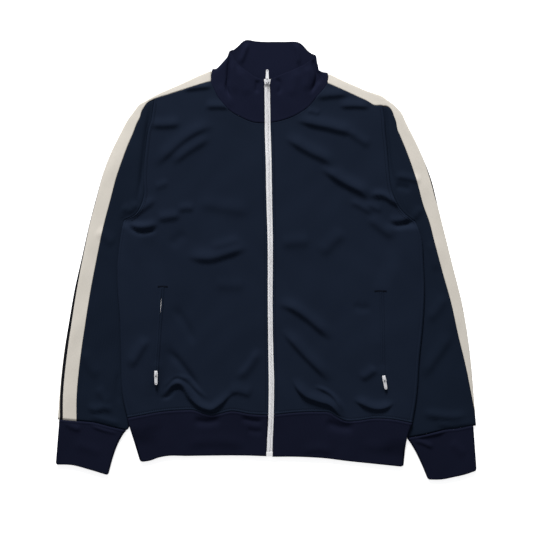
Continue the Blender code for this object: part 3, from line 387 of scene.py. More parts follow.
class Shade:
    """An output of a material's node. Arithmetic on it adds Math nodes."""

    def __init__(self, tree, socket):
        self.tree = tree
        self.socket = socket

    def node(self, kind, settings, sockets, output=0):
        """Adds a node: first its settings, then the values or links of its sockets."""
        made = self.tree.nodes.new(kind)
        for name, value in settings.items():
            setattr(made, name, value)
        for name, value in sockets.items():
            if isinstance(value, Shade):
                self.tree.links.new(value.socket, made.inputs[name])
            else:
                made.inputs[name].default_value = value
        return Shade(self.tree, made.outputs[output])

    def math(self, operation, *values):
        return self.node("ShaderNodeMath", {"operation": operation}, dict(enumerate(values)))

    def __add__(self, other):
        return self.math("ADD", self, other)

    def __sub__(self, other):
        return self.math("SUBTRACT", self, other)

    def __rsub__(self, other):
        return self.math("SUBTRACT", other, self)

    def __mul__(self, other):
        return self.math("MULTIPLY", self, other)

    __radd__ = __add__
    __rmul__ = __mul__

    def sine(self):
        """A wave between 0 and 1."""
        return self.math("SINE", self) * 0.5 + 0.5

    def mix(self, low, high):
        """The colour low where this is 0, and high where it is 1."""
        return self.node("ShaderNodeMix", {"data_type": "RGBA"}, {0: self, 6: low, 7: high}, 2)

    def noise(self, place, scale, detail=2.0):
        return self.node("ShaderNodeTexNoise", {}, {"Vector": place, "Scale": scale, "Detail": detail})

    def kept(self, label):
        """A number that the mesh keeps for each of its points."""
        return self.node("ShaderNodeAttribute", {"attribute_name": label}, {}, 2)


def finish_of(name, roughness, specular, sheen=0.0):
    """A new material, and a Shade with the point's place on its object."""
    made = bpy.data.materials.new(name)
    made.use_nodes = True
    shader = made.node_tree.nodes["Principled BSDF"]
    shader.inputs["Roughness"].default_value = roughness
    shader.inputs["Specular IOR Level"].default_value = specular
    shader.inputs["Sheen Weight"].default_value = sheen
    shader.inputs["Sheen Roughness"].default_value = 0.45
    places = made.node_tree.nodes.new("ShaderNodeTexCoord")
    return made, Shade(made.node_tree, places.outputs["Object"])


def dress(finish, colour, relief, depth):
    """Links a finish's colour, and its relief with the relief's depth in millimetres."""
    shader = finish.node_tree.nodes["Principled BSDF"]
    finish.node_tree.links.new(colour.socket, shader.inputs["Base Color"])
    heights = {"Height": relief, "Distance": depth * MM, "Strength": 1.0}
    bump = relief.node("ShaderNodeBump", {}, heights)
    finish.node_tree.links.new(bump.socket, shader.inputs["Normal"])


CREAM = (0.627, 0.589, 0.528, 1.0)
CREAM_SHADE = (0.547, 0.510, 0.452, 1.0)
STRIP_NAVY = (0.0045, 0.0048, 0.0068, 1.0)
STRIP_NAVY_LIGHT = (0.0065, 0.0068, 0.0095, 1.0)
WALE = 1.3               # from one row of loops to the next
cream_knit, place = finish_of("cream_knit", 0.8, 0.12, 0.1)
across, along = place.kept("across"), place.kept("along")
strip = place.node("ShaderNodeCombineXYZ", {}, {"X": across * 0.001, "Y": along * 0.0002, "Z": 0.0})
streaks = place.noise(strip, 900.0)
clouds = place.noise(place, 22.0)
wales = (across * (2 * math.pi / WALE)).sine()
tone = (streaks * 0.55 + clouds * 0.75 - 0.2).mix(CREAM_SHADE, CREAM)
dress(cream_knit, tone, wales * 0.5 + streaks * 0.8, 0.16)

piping_knit, place = finish_of("piping_knit", 0.85, 0.05)
dress(piping_knit, place.noise(place, 60.0).mix(STRIP_NAVY, STRIP_NAVY_LIGHT),
      (place.kept("across") * (2 * math.pi / WALE)).sine(), 0.1)

for side in SIGN:
    band = edge_rows(side)[0][:, 2]
    piping_edge = band - BAND_WIDTH[side]
    back_edge = piping_edge - PIPING_WIDTH
    front = between(band - BAND_GAP, piping_edge + BAND_GAP, BAND_COLUMNS)
    piece = cloth(f"cream_front_{side}", mirrored(side, beside_edge(side, front)), CLOTH_WALL,
                  cream_knit)
    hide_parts(f"band_front_{side}")

    strip = between(piping_edge - BAND_GAP, back_edge + BAND_GAP, PIPING_COLUMNS)
    piece = cloth(f"piping_strip_{side}", mirrored(side, beside_edge(side, strip)), CLOTH_WALL,
                  piping_knit)
    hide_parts(f"piping_{side}")

    back = between(back_edge - BAND_GAP, back_edge - BAND_WIDTH[side] + BAND_GAP, BAND_COLUMNS)
    piece = cloth(f"cream_back_{side}", mirrored(side, beside_edge(side, back)), CLOTH_WALL,
                  cream_knit)
    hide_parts(f"band_back_{side}")


# ---------------------------------------------------------------- sleeves
# Each sleeve is one piece of navy tricot, from the front band round the inner edge to the back
# band. It lies flat, and part of its inner edge is tucked under the body.

# Armhole seam below the band, down to the armpit: out, up
ARMHOLE = {
    "right": [(213, 226), (215.5, 205), (218, 183), (220, 145), (220, 112), (236, 80), (256, 70)],
    "left": [(214, 228), (216.5, 208), (218, 190), (221, 156), (225, 126), (232, 106), (247, 84),
             (269, 67)],
}

# Inner edge of the sleeve, which lies under the side of the body: how far in by
TUCKED = {
    "right": [  # up, in_by
        (70, 2.4), (60, 3.0), (24, 5.0), (-5, 12.0), (-50, 34.0), (-150, 34.0), (-210, 16.0),
        (-245, 6.0), (-285, 5.4), (-296, 4.2), (-307, -1.0)],
    "left": [
        (67, 2.4), (57, 3.0), (22, 5.0), (-5, 12.0), (-50, 34.0), (-150, 34.0), (-210, 16.0),
        (-250, 8.0), (-305, 9.0), (-321, 8.0)],
}
CUFF_SEAM = {
    "right": [(374.5, -287.3), (342, -290.3), (311, -293.2), (280, -301), (252.5, -307)],
    "left": [(377, -298.3), (366, -300.4), (345, -304.2), (326, -306), (308, -310), (285, -315.5),
             (254, -321)],
}
SEAM_GAP = 0.12
YOKE = 38.0              # width of cloth that is laid row by row beside the outer edge, above
YOKE_BACK = 3.0          # and the same past the back band
YOKE_COLUMNS = {"above": 14, "below": 4}
SLEEVE_COLUMNS = {"above": 64, "below": 24}
TURN_COLUMNS = 7         # round a folded edge


def band_edges(side, band):
    """Distance from the outer edge to where the navy cloth ends at the bands, above and below."""
    return band + BAND_GAP, band - 2 * BAND_WIDTH[side] - PIPING_WIDTH - BAND_GAP


def armhole_seam(side, start, count):
    """The armhole's seam, from start at the band down to the armpit."""
    below = [row for row in ARMHOLE[side] if row[1] < start[1] - 8.0]
    return smooth(np.vstack([start, below]), count=count)


def under_body(side, up):
    """How far out the sleeve's inner edge is, where it is tucked under the body."""
    rows = np.array(TUCKED[side][::-1], float)
    return side_of_body(side, up) - np.interp(up, rows[:, 0], rows[:, 1])


def stack(plan, height):
    """Plan points with a height each."""
    return np.concatenate([plan, height[..., None]], axis=-1)


def unit(ways):
    """Plan directions with their length made 1."""
    return ways / np.hypot(ways[:, 0], ways[:, 1])[:, None]


def fold_over(upper, lower, outward):
    """Columns of points round a folded edge, from the upper layer's last column to the lower
    layer's first, which lie over each other."""
    radius = (upper[:, 2] - lower[:, 2])[:, None] / 2
    middle = (upper + lower) / 2
    points = []
    for angle in np.linspace(math.pi / 2, -math.pi / 2, TURN_COLUMNS + 2)[1:-1]:
        level = np.full((len(middle), 1), math.sin(angle))
        points.append(middle + np.concatenate([outward * math.cos(angle), level], axis=1) * radius)
    return np.stack(points, axis=1)


def spaced(line, shares):
    """Points at shares, from 0 to 1, of a plan line's length."""
    run = run_along(line)
    return np.stack([np.interp(shares * run[-1], run, column) for column in line.T], axis=1)


def rungs(starts, ends, last):
    """Plan points of a wall of the sleeve: straight rows from starts to ends, which bend into
    the cuff seam, last, at the bottom."""
    across = np.linspace(0.0, 1.0, len(last))[None, :, None]
    down = np.linspace(0.0, 1.0, len(starts))[:, None, None]
    straight = starts[:, None] * (1 - across) + ends[:, None] * across
    return straight + (last - straight[-1]) * np.clip(1 - (1 - down) / 0.3, 0.0, 1.0) ** 2


def seam_relief(away, stitched=0.0):
    """What a seam does to the cloth beside it: a groove at the edge, then the ridge of the cloth
    turned under, and with stitched the line of topstitching past it."""
    relief = 0.45 * np.exp(-((away - 2.6) / 1.5) ** 2) - 0.75 * np.exp(-(away / 1.1) ** 2)
    return relief - stitched * np.exp(-((away - 5.2) / 0.9) ** 2)


def from_rows(grid, row):
    """Distance of each point from a row of its grid, along its column."""
    steps = np.linalg.norm(np.diff(grid[..., :2], axis=0), axis=2)
    run = np.concatenate([np.zeros((1, grid.shape[1])), np.cumsum(steps, axis=0)])
    return np.abs(run - run[row])


def from_columns(grid, column):
    """Distance of each point from a column of its grid, along its row."""
    return from_rows(grid.transpose(1, 0, 2), column).T


def sunk_edge(away, depth):
    """How far cloth sinks beside an edge that is sewn down or turned under."""
    return depth * np.exp(-(away / 1.3) ** 2)


def knit(name, dark, light, wale, depth):
    """Navy knit with rows of loops that many millimetres apart, and a colour that drifts between
    dark and light."""
    finish, place = finish_of(name, 0.82, 0.04)
    wales = (place.kept("across") * (2 * math.pi / wale)).sine()
    tone = (place.noise(place, 9.0, 3.0) * 1.6 - 0.3).mix((*dark, 1.0), (*light, 1.0))
    dress(finish, tone, wales * 0.8 + place.noise(place, 1400.0, 1.0) * 0.45, depth)
    return finish


# Painted shade: the sleeves' tricot is the body's cloth with its colour made a little darker, for the
# dimmer light on the sleeves.
sleeve_tricot_painted_darker = knit("sleeve_tricot_painted_darker", (0.0052, 0.0090, 0.0182), (0.0062, 0.0106, 0.0212), WALE, 0.10)

for side in SIGN:
    part = slice(SHOULDER_ROWS, None)
    band = edge_rows(side)[0][part, 2]
    count = len(band)
    front_edge, back_edge = band_edges(side, band)
    above = between(front_edge, np.full(count, YOKE), YOKE_COLUMNS["above"])
    below = between(back_edge - YOKE_BACK, back_edge, YOKE_COLUMNS["below"])
    top_strip, low_strip = beside_edge(side, above, part), beside_edge(side, below, part)
    for edge in (top_strip, low_strip):
        edge[0, :, 0] += SEAM_GAP

    # The rows end on the armhole seam, and past the armpit on the tucked edge
    cuff_line = smooth(CUFF_SEAM[side], count=60)
    ups = np.linspace(BODY_SIDE[side][0][1], cuff_line[-1, 1] + SEAM_GAP, 240)
    inner_line = np.stack([under_body(side, ups), ups], axis=1)
    inner_line[-1, 0] = cuff_line[-1, 0]
    seams = [armhole_seam(side, begin[:2], 80) for begin in (top_strip[0, -1], low_strip[0, 0])]
    steps = np.hypot(*np.diff(top_strip[:, -1, :2], axis=0).T)
    share = np.concatenate([[0.0], np.cumsum(steps)]) / steps.sum()
    armhole_length, inner_length = (
        np.hypot(*np.diff(line, axis=0).T).sum() for line in (seams[0], inner_line))
    armpit = int(np.searchsorted(share, armhole_length / (armhole_length + inner_length)))
    inner = spaced(inner_line, (share[armpit:] - share[armpit]) / (1 - share[armpit]))
    run = unit(np.gradient(inner, axis=0))
    outward = np.stack([run[:, 1], -run[:, 0]], axis=1)
    outward[-1] = (cuff_line[-1] - cuff_line[-2]) / np.linalg.norm(cuff_line[-1] - cuff_line[-2])
    inner -= outward * FOLD_RISE / 2
    outward = np.vstack([np.tile(outward[0], (armpit, 1)), outward])

    # The upper and the lower wall between those ends and the strips beside the bands
    walls = []
    for begin, seam, columns in ((top_strip[:, -1, :2], seams[0], SLEEVE_COLUMNS["above"]),
                                 (low_strip[:, 0, :2], seams[1], SLEEVE_COLUMNS["below"])):
        seam[-1] = inner[0]
        ends = np.vstack([spaced(seam, 0.04 + 0.96 * share[:armpit] / share[armpit]), inner])
        out = np.linspace(begin[-1, 0], ends[-1, 0], columns)
        cuff_up = np.interp(out, cuff_line[::-1, 0], cuff_line[::-1, 1])
        last = np.stack([out, cuff_up + SEAM_GAP], axis=1)
        last[0], last[-1] = begin[-1], ends[-1]
        walls.append(rungs(begin, ends, last))

    # Their heights and seams, and the turn that joins them below the armhole
    upper = stack(walls[0], sleeve_top(side, walls[0][..., 0], walls[0][..., 1]))
    upper[armpit:, -1, 2] = FLOOR_MIDDLE + FOLD_RISE
    upper = np.concatenate([top_strip[:, :-1], upper], axis=1)
    away = nearest(upper[..., 0], upper[..., 1], np.vstack([top_strip[0, :, :2], seams[0][1:]]))[0]
    upper[..., 2] += 0.8 * seam_relief(away) - 0.9 * np.exp(-(away / 7.0) ** 2)
    upper[..., 2] += seam_relief(from_rows(upper, -1), 0.25) - sunk_edge(from_columns(upper, 0), 0.7)
    lower = stack(walls[1][:, ::-1], np.full(walls[1].shape[:2], FLOOR_MIDDLE))
    turn = fold_over(upper[:, -1], lower[:, 0], outward)
    grid = np.concatenate([upper, turn, lower[:, :-1], low_strip], axis=1)
    row, column = np.mgrid[0:count - 1, 0:grid.shape[1] - 1]
    turned = (column >= upper.shape[1] - 1) & (column < upper.shape[1] + TURN_COLUMNS)
    piece = cloth(f"sleeve_cloth_{side}", mirrored(side, grid), CLOTH_WALL, sleeve_tricot_painted_darker,
                  opened=(row < armpit) & turned)
    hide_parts(f"sleeve_{side}")


# ---------------------------------------------------------------- back
# One panel of navy tricot on the floor, under the fronts. Beside the sleeves it lies on their
# tucked edges. The body's knit runs straight down. Its colour is painted a little lighter than the
# sleeves', which are the same cloth: painted light for the brighter light on the body.

TUCK_RAMP = 40.0         # over which the body rises onto a sleeve
TUCK_MARGIN = 26.0       # from there to the sleeve's tucked edge
BODY_LIFT = 4.6          # the two layers of a sleeve
ARMPIT_RAMP = 14.0
HEM_RAMP = 38.0
LIFT_END = {"right": -336.0, "left": -356.0}     # where the hem is down on the floor again
SIDE_POINTS = 90         # of the outline, below the armpit


def body_lift(x, y):
    """How far the body is raised by the sleeves that are tucked under it."""
    total = np.zeros(x.shape)
    for side, sign in SIGN.items():
        inner = under_body(side, y) - TUCK_MARGIN
        lift = ease((sign * x - inner) / TUCK_RAMP + 1.0)
        lift = lift * ease((TUCKED[side][0][0] - y) / ARMPIT_RAMP)
        lift = lift * ease((y - LIFT_END[side]) / HEM_RAMP)
        total = np.where(sign * x > 0, BODY_LIFT * lift, total)
    return total


def round_corner(first, second, radius):
    """Rounds off the corner where two plan lines end."""
    corner = first[-1].copy()
    ways = [(line[-4] - corner) / np.linalg.norm(line[-4] - corner) for line in (first, second)]
    middle = corner + radius * (ways[0] + ways[1])
    for line, own, other in ((first, *ways), (second, *ways[::-1])):
        away = np.linalg.norm(line - corner, axis=1)
        near = away < radius
        turn = math.pi / 4 * (1 - away[near, None] / radius)
        line[near] = middle - radius * (other * np.cos(turn) + own * np.sin(turn))


def crowded(count):
    """Places from 0 to 1, closer together near both ends."""
    t = np.linspace(0.0, 1.0, count)
    closer = 0.62
    return t - closer * np.sin(2 * math.pi * t) / (2 * math.pi)


def resampled(line, places):
    """Points of a plan line at places from 0 to 1, counted by its own points."""
    at = places * (len(line) - 1)
    return np.stack([np.interp(at, np.arange(len(line)), column) for column in line.T], axis=1)


def patch(bottom, top, left, right, across, up):
    """Plan points inside four edges, at places from 0 to 1 across and up: bottom and top run
    left to right, the others upwards."""
    bottom, top = resampled(bottom, across), resampled(top, across)
    left, right = resampled(left, up), resampled(right, up)
    u, v = across[None, :, None], up[:, None, None]
    ruled = (1 - v) * bottom[None] + v * top[None] + (1 - u) * left[:, None] + u * right[:, None]
    corners = ((1 - u) * (1 - v) * bottom[0] + u * (1 - v) * bottom[-1]
               + (1 - u) * v * top[0] + u * v * top[-1])
    return ruled - corners


def body_outline(side, above):
    """The outer edge of the front or back, from the hem seam up to the shoulder band, and the
    band's edge from the armhole to the neck."""
    part = slice(0, SHOULDER_ROWS + 1)
    front_edge, back_edge = band_edges(side, edge_rows(side)[0][part, 2])
    edge = front_edge if above else back_edge
    depth = np.full(len(edge), YOKE) if above else edge - YOKE_BACK
    points = beside_edge(side, np.stack([edge, depth], axis=1), part)
    shoulder, start = points[:, 0, :2], points[-1, 1, :2]
    side_line = smooth(BODY_SIDE[side], count=SIDE_POINTS)[::-1, :2]
    strip = shoulder[-1] + (start - shoulder[-1]) * np.linspace(0.0, 1.0, 12)[:, None]
    seam = np.vstack([strip[:-1], armhole_seam(side, start, 36)])[::-1]
    return np.vstack([side_line, seam[1:]]), shoulder[::-1]


# Painted light: the same tricot as the sleeves, with its colour made lighter for the brighter light on
# the body.
body_tricot_painted_lighter = knit("body_tricot_painted_lighter", (0.0064, 0.0106, 0.0214), (0.0078, 0.0126, 0.0252), WALE, 0.10)

BACK_NECK = [(-66, 308.1), (-33, 299.6), (0, 297.1), (36, 298.6), (76, 307.1)]
BACK_BOW = 6.0           # how far its lower edge bows up in the middle
BACK_COLUMNS, BACK_ROWS = 110, 100
(right, right_shoulder), (left, left_shoulder) = (
    [line * (sign, 1.0) for line in body_outline(side, False)] for side, sign in SIGN.items())
share = np.linspace(0.0, 1.0, 60)[:, None]
bottom = right[0] + (left[0] - right[0]) * share
bottom[:, 1] += BACK_BOW * np.sin(np.pi * share[:, 0])
neck = smooth(np.vstack([right_shoulder[-1], BACK_NECK[1:-1], left_shoulder[-1]]), count=50)
top = np.vstack([right_shoulder, neck[1:-1], left_shoulder[::-1]])
plan = patch(bottom, top, right, left, crowded(BACK_COLUMNS), crowded(BACK_ROWS))
grid = stack(plan, FLOOR_MIDDLE + body_lift(plan[..., 0], plan[..., 1]))
piece = cloth("back_panel", grid, CLOTH_WALL, body_tricot_painted_lighter, across=plan[..., 0])
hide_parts("back")


# ---------------------------------------------------------------- fronts
# Two panels of the same tricot, joined by the zip. They lie on the back and keep soft creases
# at the armpits, across the chest and above the hem, where the rib draws them in.

# Middle of the zip and half of its width between the two fronts: y, x, half width
ZIP_RUN = [
    (323, 1.5, 4.7), (300, 1.8, 4.8), (268, 2.2, 5.0), (234, 2.8, 5.4), (178, 4.4, 5.4),
    (107, 5.6, 5.3), (35, 7.2, 4.8), (-73, 7.2, 4.4), (-126, 7.6, 4.4), (-180, 8.6, 4.7),
    (-217, 9.4, 5.0), (-252, 9.2, 5.0), (-290, 8.4, 5.0), (-325, 6.6, 5.2), (-353, 5.9, 5.2),
]


def zip_at(y):
    """Middle and half width of the zip."""
    rows = np.array(ZIP_RUN[::-1], float)
    fine = smooth(rows, count=140)
    return np.interp(y, fine[:, 0], fine[:, 1]), np.interp(y, fine[:, 0], fine[:, 2])


HEM_SEAM = {
    "right": [(-0.5, -280), (29, -278), (65, -273), (82, -277), (99, -280), (113, -277),
              (130, -271), (151, -271), (190, -274), (224, -280), (249, -285)],
    "left": [(16, -279), (57, -275), (92, -274), (116, -276), (127, -283), (142, -290),
             (164, -290), (192, -286), (225, -287), (262, -294)],
}
FRONT_NECK = {
    "right": [(3.4, 246), (24, 248), (46, 257), (66, 269), (84, 289), (95, 311), (98.3, 326)],
    "left": [(8.9, 247), (28, 251), (52, 260), (74, 274), (91, 293), (105, 309), (110.5, 321)],
}

# Height, reach to the left and to the right of the line, and the line as x, y. Most lines run
# to the viewer's right, so left is up the garment.
FRONT_CREASES = [
    (2.8, 9, 6, [(-250, 68), (-236, 82), (-218, 95), (-196, 112)]),
    (-3.4, 4, 4, [(-254, 64), (-242, 56), (-228, 49), (-212, 50), (-192, 56)]),
    (3.2, 8, 4, [(-248, 66), (-232, 60), (-214, 60), (-192, 66)]),
    (3.2, 10, 5, [(-198, 73), (-176, 76), (-152, 79)]),
    (2.4, 9, 4, [(-160, 89), (-146, 92), (-128, 91)]),
    (1.6, 6, 5, [(-202, 130), (-188, 134), (-174, 140)]),
    (3.4, 13, 6, [(-206, 166), (-176, 192), (-146, 218), (-118, 234), (-88, 244)]),
    (3.0, 11, 6, [(-172, 170), (-148, 190), (-122, 207), (-98, 222)]),
    (3.2, 11, 6, [(-212, 243), (-184, 242), (-150, 245)]),
    (2.8, 9, 5, [(-112, 275), (-88, 276), (-64, 274)]),
    (2.8, 6, 5, [(-152, 306), (-122, 310), (-94, 312)]),
    (1.8, 14, 10, [(-128, 104), (-76, 94), (-22, 86)]),
    (4.4, 14, 5, [(-146, 9), (-124, 3), (-100, 2), (-72, 10), (-30, 24)]),
    (1.8, 9, 6, [(-104, 22), (-76, 28), (-44, 38)]),
    (-1.5, 9, 9, [(-172, 22), (-160, 36), (-142, 48)]),
    (1.4, 12, 9, [(-96, -44), (-66, -46), (-34, -46)]),
    (-1.8, 7, 7, [(-170, -82), (-150, -108), (-136, -134), (-130, -156)]),
    (5.4, 9, 2.8, [(-194, -247), (-180, -238), (-168, -225), (-158, -222), (-148, -231),
                   (-134, -251), (-116, -265), (-98, -269), (-82, -259), (-66, -243), (-48, -234)]),
    (-2.6, 3, 3, [(-186, -239), (-175, -226), (-161, -214), (-145, -221), (-130, -236),
                  (-118, -250)]),
    (-2.4, 4, 4, [(-192, -250), (-176, -246), (-164, -232), (-154, -230), (-144, -244)]),
    (1.8, 3, 4, [(-164, -207), (-140, -214), (-120, -236), (-104, -252)]),
    (-3.6, 6, 6, [(-180, -158), (-160, -180), (-138, -208), (-118, -238)]),
    (2.8, 7, 9, [(-54, -216), (-38, -200), (-22, -178), (-12, -158)]),
    (3.0, 11, 7, [(-246, -196), (-234, -176), (-222, -156), (-210, -138)]),
    (2.4, 12, 6, [(-70, -236), (-50, -236), (-24, -244)]),
    (3.2, 12, 6, [(86, 293), (118, 296), (152, 299)]),
    (3.0, 10, 5, [(128, 276), (158, 277), (190, 275)]),
    (1.6, 6, 4, [(72, 268), (84, 266), (98, 261)]),
    (4.4, 13, 5, [(50, 254), (84, 244), (112, 238), (140, 231), (168, 226)]),
    (2.2, 9, 6, [(146, 230), (166, 218), (188, 203)]),
    (4.4, 13, 6, [(32, 224), (56, 207), (80, 193), (106, 181), (130, 164)]),
    (5.8, 13, 5, [(96, 168), (116, 154), (137, 140), (154, 131), (170, 123), (190, 106)]),
    (4.6, 7, 4, [(184, 110), (197, 116), (211, 115), (226, 106), (244, 96)]),
    (2.2, 7, 5, [(148, 106), (170, 96), (194, 82)]),
    (1.8, 7, 5, [(176, 100), (190, 96), (208, 86)]),
    (2.8, 12, 7, [(180, 78), (198, 64), (216, 50), (234, 40)]),
    (-3.6, 5, 4, [(222, 62), (238, 60), (254, 64), (272, 70)]),
    (2.8, 8, 4, [(218, 70), (240, 70), (262, 76)]),
    (2.4, 14, 9, [(96, 6), (112, 24), (126, 38), (144, 52)]),
    (1.9, 12, 9, [(22, 28), (52, 32), (84, 34)]),
    (4.6, 12, 5, [(16, -78), (42, -85), (66, -99), (92, -120), (122, -146)]),
    (4.4, 12, 5, [(26, -122), (50, -150), (72, -174), (96, -198), (118, -222)]),
    (5.8, 12, 2.7, [(48, -210), (56, -230), (70, -245), (92, -254), (116, -262), (130, -276),
                    (142, -290)]),
    (2.8, 4, 3, [(84, -227), (102, -233), (118, -243), (130, -258), (138, -276)]),
    (4.8, 10, 2.7, [(156, -248), (172, -259), (188, -266), (204, -268), (218, -264), (230, -253)]),
    (2.8, 9, 6, [(168, -216), (184, -206), (200, -194)]),
    (-1.6, 7, 7, [(156, -80), (172, -88), (190, -84)]),
    (1.6, 8, 8, [(-195, -178), (-197.6, -204), (-200, -232)]),
    (1.4, 8, 8, [(210, -186), (211.6, -213), (215, -240)]),
]
SIDE_PULL = 0.7          # how far the side seams pull the cloth down
SIDE_REACH = 5.0
PULL_RAMP = 40.0         # over which the pull sets in, under the armpit
FRONT_COLUMNS, FRONT_ROWS = 130, 220


def front_height(x, y):
    """Middle of the fronts' cloth, which comes down to the back at the side seams."""
    press = np.zeros(x.shape)
    for side, sign in SIGN.items():
        close = np.exp(-from_side(side, sign * x, y) / SIDE_REACH)
        below = ease((BODY_SIDE[side][0][1] - y) / PULL_RAMP)
        press += np.where(sign * x > 0, SIDE_PULL * close * below, 0.0)
    return FLOOR_MIDDLE + body_lift(x, y) + upper_rise(x, y, FRONT_CREASES) - press


for side, sign in SIGN.items():
    outer, shoulder = body_outline(side, True)
    hem_line = smooth(HEM_SEAM[side], count=90)[:, :2] + (0.0, SEAM_GAP)
    outer[0] = hem_line[-1]
    neck = smooth(np.vstack([FRONT_NECK[side][:-1], shoulder[-1]]), count=60)[::-1]
    top = np.vstack([shoulder, neck[1:] - (0.0, SEAM_GAP)])
    ups = np.linspace(hem_line[0, 1], top[-1, 1], 140)
    middle, half = zip_at(ups)
    beside_zip = np.stack([sign * middle + half, ups], axis=1)
    hem_line[0], top[-1] = beside_zip[0], beside_zip[-1]
    plan = patch(hem_line[::-1], top, outer, beside_zip, crowded(FRONT_COLUMNS), crowded(FRONT_ROWS))
    grid = stack(plan, front_height(sign * plan[..., 0], plan[..., 1]))
    grid[..., 2] += seam_relief(from_rows(grid, 0), 0.35) + 0.3 * seam_relief(from_rows(grid, -1))
    grid[..., 2] += (seam_relief(from_columns(grid, 0), 0.3)
                     + 0.5 * seam_relief(from_columns(grid, -1), 0.4))
    piece = cloth(f"front_panel_{side}", mirrored(side, grid), CLOTH_WALL, body_tricot_painted_lighter,
                  across=plan[..., 0])
    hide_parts(f"front_{side}")


# ---------------------------------------------------------------- collar
# A tall stand collar of fine rib, doubled, sewn round the neck. Its front halves lie on its back
# half, whose inside shows above them.

RIB_WALL = 2.0           # two layers of the rib
RIB_WALE = 2.3           # from rib to rib

# From the zip's right side round the back to its left side: the neck seam, the middle and the
# top edge of each section
COLLAR = [
    # seam x, y, z        middle x, y, z        top x, y, z
    (-2.6, 246, 5.2,      -3.1, 285, 6.1,      -3.3, 323, 8.0),
    (-24, 248, 5.2,       -21, 288, 6.0,       -17, 327, 7.2),
    (-46, 257, 5.2,       -41, 299, 6.0,       -34, 338, 6.6),
    (-66, 269, 5.1,       -59, 312, 5.9,       -48, 349, 6.5),
    (-84, 289, 4.9,       -72, 326, 5.6,       -56, 359, 6.2),
    (-95, 311, 4.6,       -82, 340, 5.2,       -60, 366, 5.8),
    (-98.3, 326, 3.4,     -84, 346, 3.5,       -62, 370, 4.0),
    (-94.3, 336.8, 1.9,   -82.5, 348, 1.9,     -60.5, 374, 2.1),
    (-84.5, 324.3, 1.2,   -72, 348, 1.2,       -51, 384, 1.2),
    (-66, 309, 1.1,       -54, 350, 1.1,       -37, 395, 1.1),
    (-33, 300.5, 1.1,     -25, 348, 1.1,       -18, 393, 1.1),
    (0, 298, 1.1,         0, 346, 1.1,         0, 392, 1.1),
    (36, 299.5, 1.1,      34, 346, 1.1,        30, 392, 1.1),
    (76, 308, 1.1,        68, 346, 1.1,        58, 391, 1.1),
    (95.5, 320, 1.2,      88, 345, 1.2,        75, 376, 1.2),
    (108.5, 330, 1.9,     96, 343, 1.9,        85, 366, 2.1),
    (110.5, 321, 3.4,     97, 341, 3.5,        86, 361, 4.0),
    (105, 309, 4.6,       92, 334, 5.2,        82, 359, 5.8),
    (91, 293, 4.9,        81, 322, 5.6,        74, 354, 6.2),
    (74, 274, 5.1,        66, 309, 5.9,        62, 347, 6.5),
    (52, 260, 5.2,        47, 300, 6.0,        44, 339, 6.6),
    (28, 251, 5.2,        26, 289, 6.0,        24, 331, 7.2),
    (7.8, 247, 5.2,       7.3, 286, 6.1,       6.6, 323, 8.0),
]
COLLAR_CREASES = [
    (-4.6, 3.2, 2.6, [(-66, 374), (-68, 350), (-69.5, 324), (-71, 309), (-68.5, 300), (-62, 288)]),
    (1.4, 6, 6, [(-61, 362), (-59, 324), (-54, 295)]),
    (-1.6, 4, 4, [(-62, 376), (-55, 360), (-47, 340)]),
    (-4.6, 4, 4, [(82, 370), (86, 350), (91, 329), (87, 314), (77, 296)]),
    (-2.2, 4, 4, [(97, 350), (98, 330), (92, 312)]),
    (1.3, 7, 7, [(72, 350), (76, 326), (68, 302)]),
    (-2.0, 5, 4, [(-15, 324), (-17, 311), (-18, 298)]),
    (-1.8, 4, 4, [(16, 326), (24, 318), (25, 306), (19, 296)]),
    (1.2, 9, 9, [(-46, 346), (-40, 318), (-32, 292)]),
    (1.1, 9, 9, [(56, 344), (50, 316), (43, 290)]),
    (1.0, 8, 8, [(-84, 318), (-76, 294), (-58, 272)]),
]
BACK_HALF_CREASES = [
    (2.4, 4, 5, [(-32, 392), (-39, 372), (-48, 350)]),
    (2.4, 4, 3, [(52, 392), (57, 370), (58, 348)]),
]

# Where the folded sides of the collar stand out or in: x, y, how far in x and y, reach
COLLAR_CORNERS = [
    (-97.0, 335.0, -0.6, 6.4, 7.5), (-97.0, 319.0, -1.6, 0.0, 6.0), (-62.0, 370.0, -2.4, 3.4, 6.0),
    (110.0, 330.0, 0.8, 5.6, 7.5), (95.0, 342.0, -3.2, -2.6, 6.0), (84.0, 362.0, 3.0, 3.0, 7.0),
]
COLLAR_ZIP = 1.6         # x of the zip's middle there
FRONT_FROM = 3.0         # what lies higher than this is the front half
ROLL = 0.5               # how far the front half's top edge curls down
ROLL_REACH = 18.0
ROLL_START = 12.0        # from the zip to where the curl sets in
ROLL_RAMP = 26.0
COLLAR_COLUMNS, COLLAR_ROWS = 300, 46

collar_knit = knit("collar_knit", (0.0056, 0.0072, 0.0186), (0.0070, 0.0089, 0.0232), RIB_WALE, 0.22)


def through(rows, count):
    """Points on a smooth curve through rows of x, y, z, denser where the rows are."""
    at = np.linspace(0.0, len(rows) - 1.0, count)
    slopes = np.gradient(rows, axis=0)
    cell = np.clip(at.astype(int), 0, len(rows) - 2)
    return eased_between(rows, slopes, cell, (at - cell)[:, None])


